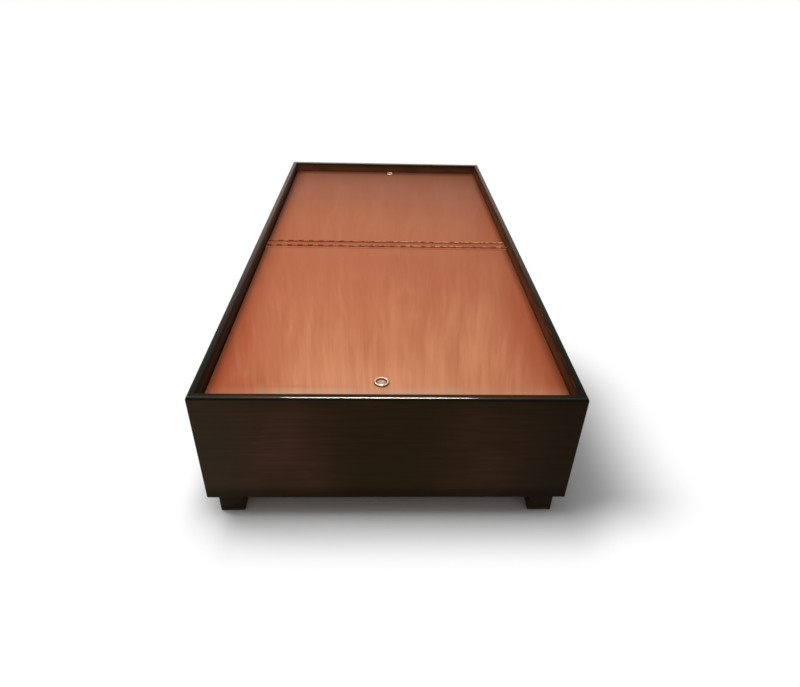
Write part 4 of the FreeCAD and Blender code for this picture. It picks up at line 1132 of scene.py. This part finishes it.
class DIVAN_OT_boards(bpy.types.Operator):
    """Makes the four mitred outer boards from one hollow ring"""
    bl_idname = "divan.boards"
    bl_label = "Boards"
    bl_options = {"REGISTER", "UNDO"}

    def execute(self, context):
        sizes = context.scene.divan_boards
        ring = self.ring(sizes)
        for name, finish, out in (
                ("front_board", "Board Across", Vector((0, -1, 0))),
                ("back_board", "Board Across", Vector((0, 1, 0))),
                ("left_board", "Board Along", Vector((-1, 0, 0))),
                ("right_board", "Board Along", Vector((1, 0, 0)))):
            board = copy_piece(ring, f"{name}_piece")
            self.cut(board, Vector((0, 0, 0)), out)
            along = Vector((abs(out.y), abs(out.x), 0))
            for end in (-along, along):
                corner = (out + end) * CAD_HIGH
                self.cut(board, corner + out * sizes.mitre_line / 2, out - end)
            smooth(board)
            stand_for(board, finish, name)
        bpy.data.objects.remove(ring)
        return {"FINISHED"}

    def ring(self, sizes):
        """All four boards in one piece, hollow, with their edges rounded"""
        low = Vector((CAD_LOW.x, CAD_LOW.y, BOARD_UNDER))
        ring = block("board_ring", low, CAD_HIGH)
        with editing(ring, "FACE"):
            pick_faces(lambda middle, normal: abs(normal.z) > FLAT)
            bpy.ops.mesh.inset(thickness=BOARD_THICKNESS)
            bpy.ops.mesh.bridge_edge_loops()

        def outer(corner):
            return abs(corner.x) > INNER_HIGH.x + NEAR or abs(corner.y) > INNER_HIGH.y + NEAR

        def upper(corner):
            return corner.z > CAD_HIGH.z - NEAR

        def lower(corner):
            return corner.z < BOARD_UNDER + NEAR

        widest = sizes.top_round
        for width, test in (
                (sizes.top_round, lambda a, b: outer(a) and outer(b) and upper(a) and upper(b)),
                (sizes.corner_round, lambda a, b: outer(a) and outer(b) and upper(a) != upper(b)),
                (sizes.under_round, lambda a, b: outer(a) and outer(b) and lower(a) and lower(b)),
                (sizes.inner_round, lambda a, b: upper(a) and upper(b) and not outer(a) and not outer(b))):
            weigh_edges(ring, width, widest, test)
        round_weighed(ring, widest, sizes.steps)
        return ring

    def cut(self, board, place, towards):
        """Cuts the board on a plane and keeps the side that towards points to"""
        with editing(board, "FACE"):
            bpy.ops.mesh.select_all(action="SELECT")
            bpy.ops.mesh.bisect(plane_co=place, plane_no=towards.normalized(),
                                use_fill=True, clear_inner=True, threshold=TOUCH)


class DIVAN_OT_feet(bpy.types.Operator):
    """Makes a foot with the recess for its bolt and stands a copy under each corner"""
    bl_idname = "divan.feet"
    bl_label = "Feet"
    bl_options = {"REGISTER", "UNDO"}

    def execute(self, context):
        sizes = context.scene.divan_feet
        first = "foot_front_left"
        low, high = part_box(first)
        foot = block(f"{first}_piece", low, high)
        middle = (low + high) / 2
        with editing(foot, "FACE"):
            pick_faces(lambda place, normal: normal.z < -FLAT)
            bpy.ops.mesh.inset(thickness=(high.x - low.x - sizes.recess_width) / 2)

        def in_recess(corner):
            return max(abs(corner.x - middle.x), abs(corner.y - middle.y)) < sizes.recess_width / 2 + NEAR

        with editing(foot, "EDGE"):
            pick_edges(lambda a, b: in_recess(a) and in_recess(b))
            bpy.ops.mesh.subdivide(number_cuts=sizes.recess_cuts)
            bpy.ops.transform.tosphere(value=1.0, center_override=(middle.x, middle.y, low.z))
            self.set_radius(foot, middle, low.z, sizes.recess_width / 2)
            extrude((0, 0, sizes.recess_depth))
            bpy.ops.mesh.edge_face_add()
        face_outwards(foot)

        def upright(a, b):
            return abs(a.z - b.z) > high.z / 2 and abs(a.x - middle.x) > sizes.recess_width

        def sole(a, b):
            out = min(abs(end.x - middle.x) + abs(end.y - middle.y) for end in (a, b))
            return max(a.z, b.z) < NEAR and out > 2 * sizes.recess_width

        weigh_edges(foot, sizes.edge_round, sizes.edge_round, upright)
        weigh_edges(foot, sizes.sole_bevel, sizes.edge_round, sole)
        round_weighed(foot, sizes.edge_round, sizes.steps)
        smooth(foot)
        for name in ("foot_front_right", "foot_back_left", "foot_back_right"):
            twin = copy_piece(foot, f"{name}_piece")
            twin.data.transform(Matrix.Translation(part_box(name)[0] - low))
            stand_for(twin, "Foot Wood", name)
        stand_for(foot, "Foot Wood", first)
        return {"FINISHED"}

    def set_radius(self, foot, middle, height, wanted):
        """Resizes the picked circle to the wanted radius"""
        mesh = bmesh.from_edit_mesh(foot.data)
        spot = Vector((middle.x, middle.y, height))
        found = max((corner.co - spot).length for corner in mesh.verts if corner.select)
        resize_sideways(wanted / found, spot)


class DIVAN_OT_lids(bpy.types.Operator):
    """Makes the two lids and the fixed strip between them"""
    bl_idname = "divan.lids"
    bl_label = "Lids"
    bl_options = {"REGISTER", "UNDO"}

    def execute(self, context):
        sizes = context.scene.divan_lids
        for name in ("front_lid", "back_lid", "centre_strip"):
            low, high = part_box(name)
            lid = block(f"{name}_piece", low, high)
            weigh_edges(lid, sizes.edge_round, sizes.edge_round, lambda a, b: min(a.z, b.z) > high.z - NEAR)
            weigh_edges(lid, sizes.under_round, sizes.edge_round, lambda a, b: min(a.z, b.z) < high.z - NEAR)
            round_weighed(lid, sizes.edge_round, sizes.steps)
            smooth(lid)
            stand_for(lid, "Stained Lid", name)
        return {"FINISHED"}


class DIVAN_OT_hinges(bpy.types.Operator):
    """Rolls the knuckles of each strip hinge round its pin"""
    bl_idname = "divan.hinges"
    bl_label = "Hinges"
    bl_options = {"REGISTER", "UNDO"}

    def execute(self, context):
        sizes = context.scene.divan_hinges
        for end in ("front", "back"):
            pin_low, pin_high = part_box(f"{end}_hinge_pin")
            self.pin(f"{end}_hinge_pin", pin_low, pin_high, sizes)
            axis = (pin_low + pin_high) / 2
            self.leaf(f"{end}_hinge_lid_leaf", "Lid Leaf", axis, sizes, first_own=1)
            self.leaf(f"{end}_hinge_strip_leaf", "Fixed Leaf", axis, sizes, first_own=0)
        return {"FINISHED"}

    def pin(self, node, low, high, sizes):
        bpy.ops.mesh.primitive_cylinder_add(
            vertices=sizes.pin_facets, radius=(high.z - low.z) / 2, depth=high.x - low.x,
            location=(low + high) / 2, rotation=(0, math.pi / 2, 0))
        pin = start_piece(f"{node}_piece")
        weigh_edges(pin, 1, 1, lambda a, b: abs(a.x - b.x) < NEAR)
        round_weighed(pin, sizes.pin_dome, sizes.dome_steps)
        smooth(pin)
        stand_for(pin, "Pin Metal", node)

    def leaf(self, node, finish, axis, sizes, first_own):
        """A flat leaf whose own knuckles, every second one, are rolled round the pin"""
        low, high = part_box(node)
        away = 1 if high.y - axis.y > axis.y - low.y else -1
        free_edge = high.y if away > 0 else low.y
        height = low.z + sizes.leaf_thickness / 2
        radius = axis.z - height
        cut_back = axis.y + away * (radius + sizes.leaf_thickness / 2 + sizes.slot_clearance)
        pitch = (high.x - low.x) / sizes.knuckles
        bpy.ops.mesh.primitive_grid_add(x_subdivisions=sizes.knuckles, y_subdivisions=1, size=1)
        leaf = start_piece(f"{node}_piece")
        with editing(leaf, "EDGE"):
            bpy.ops.mesh.select_all(action="SELECT")
            bpy.ops.transform.resize(
                value=(high.x - low.x, abs(free_edge - cut_back), 1), center_override=(0, 0, 0))
            bpy.ops.transform.translate(value=((low.x + high.x) / 2, (free_edge + cut_back) / 2, height))
            bpy.ops.mesh.select_all(action="DESELECT")
            pick_edges(lambda a, b: abs(a.x - b.x) < TOUCH and low.x + NEAR < a.x < high.x - NEAR)
            bpy.ops.mesh.bevel(offset=sizes.knuckle_gap / 2, offset_type="OFFSET", segments=1, affect="EDGES")
            bpy.ops.mesh.select_all(action="DESELECT")

            def own_edge(a, b):
                column = int(((a.x + b.x) / 2 - low.x) / pitch)
                on_line = max(abs(a.y - cut_back), abs(b.y - cut_back)) < TOUCH
                return on_line and abs(a.x - b.x) > pitch / 2 and column % 2 == first_own

            pick_edges(own_edge)
            for step in self.roll(axis, away, cut_back, radius, sizes):
                extrude(step)
        make_sheet_metal(leaf, sizes.leaf_thickness, sizes.burr, steps=1)
        stand_for(leaf, finish, node)

    def roll(self, axis, away, cut_back, radius, sizes):
        """The steps that carry a knuckle's edge to the pin and round it"""
        place = Vector((0, cut_back, axis.z - radius))
        for step in range(sizes.roll_steps + 1):
            turn = sizes.roll * step / sizes.roll_steps
            there = Vector((0, axis.y - away * radius * math.sin(turn), axis.z - radius * math.cos(turn)))
            yield there - place
            place = there


class DIVAN_OT_pulls(bpy.types.Operator):
    """Makes the plate, eye and ring of each pull"""
    bl_idname = "divan.pulls"
    bl_label = "Ring Pulls"
    bl_options = {"REGISTER", "UNDO"}

    def execute(self, context):
        sizes = context.scene.divan_pulls
        for end in ("front", "back"):
            self.plate(f"{end}_pull_plate", sizes)
            self.eye(f"{end}_pull_eye", f"{end}_pull_ring", sizes)
            self.ring(f"{end}_pull_ring", sizes)
        return {"FINISHED"}

    def plate(self, node, sizes):
        """A round plate, dished inside a raised rim"""
        low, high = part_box(node)
        middle = (low + high) / 2
        radius = (high.x - low.x) / 2
        bpy.ops.mesh.primitive_cylinder_add(
            vertices=sizes.steps, radius=radius, depth=high.z - low.z, location=middle)
        plate = start_piece(f"{node}_piece")
        with editing(plate, "FACE"):
            pick_faces(lambda place, normal: normal.z > FLAT)
            bpy.ops.mesh.inset(thickness=sizes.rim)
            bpy.ops.mesh.inset(thickness=2 * sizes.dish)
            bpy.ops.transform.translate(value=(0, 0, -sizes.dish))
            for part in PLATE_PARTS:
                bpy.ops.mesh.inset(thickness=radius / part)
        weigh_edges(plate, 1, 1, lambda a, b: min(a.z, b.z) > high.z - TOUCH and abs(
            (a.xy - middle.xy).length - (b.xy - middle.xy).length) < TOUCH)
        round_weighed(plate, sizes.plate_round, sizes.edge_steps)
        smooth(plate, degrees=50)
        stand_for(plate, "Stained Plate", node)

    def eye(self, node, ring_node, sizes):
        """A strap bent over the ring's wire"""
        low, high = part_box(node)
        ring_low, ring_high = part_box(ring_node)
        wire_height = (ring_low.z + ring_high.z) / 2
        foot = low.z - sizes.dish
        mid_y = (low.y + high.y) / 2
        reach = (high.y - low.y) / 2 - sizes.strap / 2
        bpy.ops.mesh.primitive_plane_add(size=1, rotation=(math.pi / 2, 0, 0))
        eye = start_piece(f"{node}_piece")
        with editing(eye, "EDGE"):
            bpy.ops.mesh.select_all(action="SELECT")
            bpy.ops.transform.resize(value=(high.x - low.x, 1, wire_height - foot), center_override=(0, 0, 0))
            bpy.ops.transform.translate(
                value=((low.x + high.x) / 2, mid_y - reach, (wire_height + foot) / 2))
            bpy.ops.mesh.select_all(action="DESELECT")
            pick_edges(lambda a, b: min(a.z, b.z) > wire_height - NEAR)
            before = 0
            for step in range(1, sizes.bend_steps + 1):
                turn = math.pi * step / sizes.bend_steps
                along = reach * (math.cos(before) - math.cos(turn))
                up = reach * (math.sin(turn) - math.sin(before))
                extrude((0, along, up))
                before = turn
            extrude((0, 0, foot - wire_height))
        make_sheet_metal(eye, sizes.strap, sizes.strap_round, sizes.edge_steps)
        stand_for(eye, "Pull Metal", node)

    def ring(self, node, sizes):
        """Round wire spun into a ring, with the fine seam where its ends meet"""
        low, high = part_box(node)
        middle = (low + high) / 2
        radius = (high.x - low.x) / 2 - sizes.wire / 2
        seam = sizes.seam / radius
        bpy.ops.mesh.primitive_circle_add(
            vertices=sizes.facets, radius=sizes.wire / 2, fill_type="NOTHING",
            location=(middle.x, middle.y - radius, middle.z), rotation=(0, math.pi / 2, 0))
        ring = start_piece(f"{node}_piece")
        with editing(ring, "EDGE"):
            bpy.ops.mesh.select_all(action="SELECT")
            bpy.ops.mesh.spin(steps=sizes.steps, angle=2 * math.pi - seam, center=middle, axis=(0, 0, 1))
            for end in (0, seam):
                pick_edges(lambda a, b: all(
                    abs(abs(math.atan2(corner.x - middle.x, middle.y - corner.y)) - end) < seam / 4
                    for corner in (a, b)))
                bpy.ops.mesh.edge_face_add()
        face_outwards(ring)
        smooth(ring, degrees=60)
        stand_for(ring, "Pull Metal", node)


class DIVAN_OT_framing(bpy.types.Operator):
    """Makes the timbers inside the box, each with sanded edges"""
    bl_idname = "divan.framing"
    bl_label = "Framing"
    bl_options = {"REGISTER", "UNDO"}

    def execute(self, context):
        sizes = context.scene.divan_framing
        timbers = [name for name, slot in SLOT_OF.items() if slot == "framing_wood"]
        for name in sorted(timbers):
            low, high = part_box(name)
            timber = block(f"{name}_piece", low, high)
            weigh_edges(timber, 1, 1, lambda a, b: True)
            round_weighed(timber, sizes.arris, sizes.steps)
            smooth(timber)
            spans = high - low
            axis = "XYZ"[max(range(3), key=lambda i: spans[i])]
            stand_for(timber, f"Timber {axis}", name)
        return {"FINISHED"}


class DIVAN_OT_screws(bpy.types.Operator):
    """Drives a cross head screw wherever the frame has one"""
    bl_idname = "divan.screws"
    bl_label = "Screws"
    bl_options = {"REGISTER", "UNDO"}

    def execute(self, context):
        sizes = context.scene.divan_screws
        for node in sorted(name for name in NODES if name.endswith("screws")):
            screws = []
            patterns = {}
            for points in self.solids(NODES[node]):
                head, way, radius, reach = self.measure(points)
                kind = (round(radius / MM, 1), round(reach / MM))
                if kind not in patterns:
                    patterns[kind] = self.screw(f"{node}_pattern", radius, reach, sizes)
                twin = bpy.data.objects.new(f"{node}_{len(screws)}", patterns[kind].data.copy())
                context.collection.objects.link(twin)
                turn = way.to_track_quat("Z", "Y").to_matrix().to_4x4()
                spin = Matrix.Rotation(SCREW_TURN * len(screws), 4, "Z")
                twin.data.transform(Matrix.Translation(head + way * sizes.proud) @ turn @ spin)
                screws.append(twin)
            for pattern in patterns.values():
                bpy.data.objects.remove(pattern)
            row = join_pieces(f"{node}_piece", screws)
            stand_for(row, "Stained Screw" if "hinge" in node else "Screw Metal", node)
        return {"FINISHED"}

    def solids(self, node):
        """The vertex places of each separate solid in a CAD node"""
        mesh = bmesh.new()
        mesh.from_mesh(node.data)
        bmesh.ops.remove_doubles(mesh, verts=mesh.verts, dist=TOUCH)
        # a dict, unlike a set, keeps its order, so each screw is turned the same way every time
        waiting = dict.fromkeys(mesh.verts)
        while waiting:
            front = [waiting.popitem()[0]]
            found = []
            while front:
                corner = front.pop()
                found.append(corner.co.copy())
                for edge in corner.link_edges:
                    other = edge.other_vert(corner)
                    if other in waiting:
                        del waiting[other]
                        front.append(other)
            yield found
        mesh.free()

    def measure(self, points):
        """A CAD screw's head, the way it looks, its head's radius and its length"""
        low = Vector([min(point[i] for point in points) for i in range(3)])
        high = Vector([max(point[i] for point in points) for i in range(3)])
        spans = high - low
        axis = max(range(3), key=lambda i: spans[i])
        middle = (low + high) / 2

        def width_at(level):
            ring = [point for point in points if abs(point[axis] - level) < NEAR]
            return max(Vector([0 if i == axis else point[i] - middle[i] for i in range(3)]).length
                       for point in ring)

        head_up = width_at(high[axis]) > width_at(low[axis])
        head = middle.copy()
        head[axis] = high[axis] if head_up else low[axis]
        way = Vector((0, 0, 0))
        way[axis] = 1 if head_up else -1
        return head, way, width_at(head[axis]), spans[axis]

    def screw(self, name, radius, reach, sizes):
        """One screw at the origin, its head looking up"""
        shank = radius * sizes.shank_share
        cone = radius - shank
        recess = radius * sizes.recess_share
        bpy.ops.mesh.primitive_cylinder_add(
            vertices=sizes.facets, radius=radius, depth=cone,
            location=(0, 0, -cone / 2), rotation=(0, 0, SCREW_START))
        screw = start_piece(name)
        with editing(screw, "FACE"):
            pick_faces(lambda place, normal: normal.z < -FLAT)
            resize_sideways(sizes.shank_share, (0, 0, -cone))
            point = reach * sizes.point_share
            extrude((0, 0, -(reach - cone - point)))
            extrude((0, 0, -point))
            resize_sideways(SCREW_TIP, (0, 0, -reach))
            bpy.ops.mesh.select_all(action="DESELECT")
            pick_faces(lambda place, normal: normal.z > FLAT)
            bpy.ops.mesh.inset(thickness=radius - recess)
        with editing(screw, "VERT"):
            def diagonal(corner):
                aside = abs(abs(corner.x) - abs(corner.y))
                in_recess = corner.z > -TOUCH and corner.xy.length < recess * (1 + RECESS_SLACK)
                return in_recess and aside < recess * DIAGONAL_SLACK

            pick_corners(diagonal)
            resize_sideways(sizes.arm_share, (0, 0, 0))
        with editing(screw, "FACE"):
            pick_faces(lambda place, normal: place.z > -TOUCH and place.xy.length < RECESS_MIDDLE)
            extrude((0, 0, -radius * sizes.depth_share))
            resize_sideways(RECESS_TAPER, (0, 0, 0))
        smooth(screw, degrees=30)
        return screw


# The stage

WHITE = (1, 1, 1)
SENSOR_WIDTH = 36
FLOOR_RADIUS = 90
FLOOR_FACETS = 64
SKY_HEIGHTS = -0.1, 0.9
SKY_LEVELS = 0.35, 1.6

LAMPS = (
    {"name": "Overhead Light", "power": "overhead", "spans": (1.2, 1.2),
     "place": (-0.2, -0.9, 2.2), "target": (-0.1, -0.6, LID_TOP)},
    {"name": "Side Light", "power": "side", "spans": (1.4, 2.2),
     "place": (-2.2, 0.3, 2.6), "target": (0, 0, LID_TOP)},
    {"name": "Strip Light", "power": "strip", "spans": (1.08, 0.26),
     "place": (-0.02, -1.25, 2.2), "target": (-0.02, CAD_LOW.y, CAD_HIGH.z)},
)


class ShadowMarks:
    """Where the shadow on the floor starts to fade and over what length, in metres"""
    right_corner = 0.48, 0.66
    left_corner = 0.40, 0.50
    corner_cut = 0.06
    left = CAD_HIGH.x - 10 * MM
    front = CAD_HIGH.y - 30 * MM
    beside = -0.50
    beside_x = 0.44, 0.52
    beside_reach_x = 0.50, 0.70
    beside_reach = 1.6, 0.52


class DIVAN_OT_stage(bpy.types.Operator):
    """Sets up the camera, the floor, the lights and the world"""
    bl_idname = "divan.stage"
    bl_label = "Stage"
    bl_options = {"REGISTER", "UNDO"}

    def execute(self, context):
        settings = context.scene.divan_stage
        context.scene.view_settings.view_transform = "Standard"
        for name in ("Cube", "Light", "Camera"):
            if name in bpy.data.objects:
                bpy.data.objects.remove(bpy.data.objects[name])
        self.camera(context, settings)
        self.floor(settings)
        self.world(context, settings)
        for lamp in LAMPS:
            self.light(settings, **lamp)
        self.narrow(bpy.data.objects["Strip Light"])
        return {"FINISHED"}

    def camera(self, context, settings):
        lean = Matrix.Rotation(settings.camera_roll, 3, "Z")
        look_down = Matrix.Rotation(math.pi / 2 - settings.camera_pitch, 3, "X")
        turn = Matrix.Rotation(settings.camera_yaw, 3, "Z")
        bpy.ops.object.camera_add(
            location=settings.camera_place, rotation=(turn @ look_down @ lean).to_euler())
        camera = context.object
        camera.name = "Divan Camera"
        camera.data.sensor_fit = "HORIZONTAL"
        camera.data.sensor_width = SENSOR_WIDTH
        camera.data.lens = settings.lens
        context.scene.camera = camera

    def floor(self, settings):
        """A pale floor that goes over to plain white where the shadow ends"""
        bpy.ops.mesh.primitive_circle_add(vertices=FLOOR_FACETS, radius=FLOOR_RADIUS, fill_type="NGON")
        floor = start_piece("floor")
        paint = Finish("Pale Floor", 0.9, Specular_IOR_Level=0.0)
        floor.data.materials.append(bpy.data.materials["Pale Floor"])
        seen = paint.seen()
        shown = tuple(part * settings.floor_shown for part in settings.floor_colour)
        paint.base = paint.mix(seen, settings.floor_colour, shown)
        paint.wire()
        clear = seen * self.faded(paint, settings).rise(0.0, 1.0)
        glow = paint.add("ShaderNodeEmission", {"Color": WHITE, "Strength": 1.0})
        both = paint.add("ShaderNodeMixShader", {
            0: clear, 1: paint.shader.outputs["BSDF"], 2: glow.outputs["Emission"]})
        paint.feed(paint.found("OUTPUT_MATERIAL").inputs["Surface"], both.outputs[0])

    def faded(self, paint, settings):
        """How far a spot on the floor is from the shadow, which is gone at 1"""
        marks = ShadowMarks
        x, y, _ = paint.axes(paint.place)

        def past(value, start, reach):
            return ((value - start) / reach) | 0.0

        # the shadow reaches furthest to the right, and least behind the middle there
        to_left, to_front = x * -1.0, y * -1.0
        corners = x.rise(*marks.right_corner) + to_left.rise(*marks.left_corner)
        to_front = to_front + corners * marks.corner_cut
        sideways = past(x, CAD_HIGH.x + settings.right_start, settings.fade_right)
        sideways = sideways + past(to_left, marks.left, settings.fade_left)
        reach = x.rise(*marks.beside_reach_x).blend(*marks.beside_reach)
        beside = past(y, marks.beside, reach) * x.rise(*marks.beside_x)
        lengthways = past(to_front, marks.front, settings.fade_front) | beside
        lengthways = lengthways | past(y, CAD_HIGH.y, settings.fade_back)
        return paint.length(paint.triple(sideways, lengthways, 0.0))

    def world(self, context, settings):
        """Soft light from all round, and plain white where the room is seen"""
        world = bpy.data.worlds.new("Pale Room")
        world.use_nodes = True
        context.scene.world = world
        recipe = Recipe(world.node_tree)
        background = recipe.found("BACKGROUND").inputs
        up = recipe.axes(recipe.add("ShaderNodeTexCoord").outputs["Generated"])[2]
        sky = up.rise(*SKY_HEIGHTS).blend(*SKY_LEVELS) * settings.sky
        recipe.feed(background["Color"], WHITE)
        recipe.feed(background["Strength"], recipe.seen().blend(sky, 1.0))

    def light(self, settings, name, power, spans, place, target):
        turn = (Vector(target) - Vector(place)).to_track_quat("-Z", "Y").to_euler()
        bpy.ops.object.light_add(type="AREA", location=place, rotation=turn)
        lamp = bpy.context.object
        lamp.name = name
        lamp.data.shape = "RECTANGLE"
        lamp.data.size, lamp.data.size_y = spans
        lamp.data.energy = getattr(settings, power)

    def narrow(self, glint):
        """Lets a light show only as a glint on the dark wood"""
        glint.data.shape = "ELLIPSE"
        glint.visible_diffuse = False
        lit = bpy.data.collections.new(f"Lit By {glint.name}")
        for name, slot in SLOT_OF.items():
            if slot == "dark_wood":
                lit.objects.link(bpy.data.objects[f"{name}_piece"])
        glint.light_linking.receiver_collection = lit


class DIVAN_PT_panel(bpy.types.Panel):
    """Steps and sizes of the divan"""
    bl_label = "Storage Divan"
    bl_idname = "DIVAN_PT_panel"
    bl_space_type = "VIEW_3D"
    bl_region_type = "UI"
    bl_category = "Divan"

    def draw(self, context):
        for step in STEPS:
            self.layout.operator(step.bl_idname)
        for name, kind in SETTINGS.items():
            box = self.layout.box()
            box.label(text=kind.__doc__)
            for size in kind.__annotations__:
                box.prop(getattr(context.scene, name), size)


STEPS = (
    DIVAN_OT_finishes,
    DIVAN_OT_boards,
    DIVAN_OT_feet,
    DIVAN_OT_lids,
    DIVAN_OT_hinges,
    DIVAN_OT_pulls,
    DIVAN_OT_framing,
    DIVAN_OT_screws,
    DIVAN_OT_stage,
)


def register():
    for kind in (*SETTINGS.values(), *STEPS, DIVAN_PT_panel):
        bpy.utils.register_class(kind)
    for name, kind in SETTINGS.items():
        setattr(bpy.types.Scene, name, bpy.props.PointerProperty(type=kind))


def unregister():
    for name in SETTINGS:
        delattr(bpy.types.Scene, name)
    for kind in reversed((*SETTINGS.values(), *STEPS, DIVAN_PT_panel)):
        bpy.utils.unregister_class(kind)


def main():
    register()
    bpy.ops.divan.finishes()
    bpy.ops.divan.boards()
    bpy.ops.divan.feet()
    bpy.ops.divan.lids()
    bpy.ops.divan.hinges()
    bpy.ops.divan.pulls()
    bpy.ops.divan.framing()
    bpy.ops.divan.screws()
    bpy.ops.divan.stage()


if __name__ == "__main__":
    main()
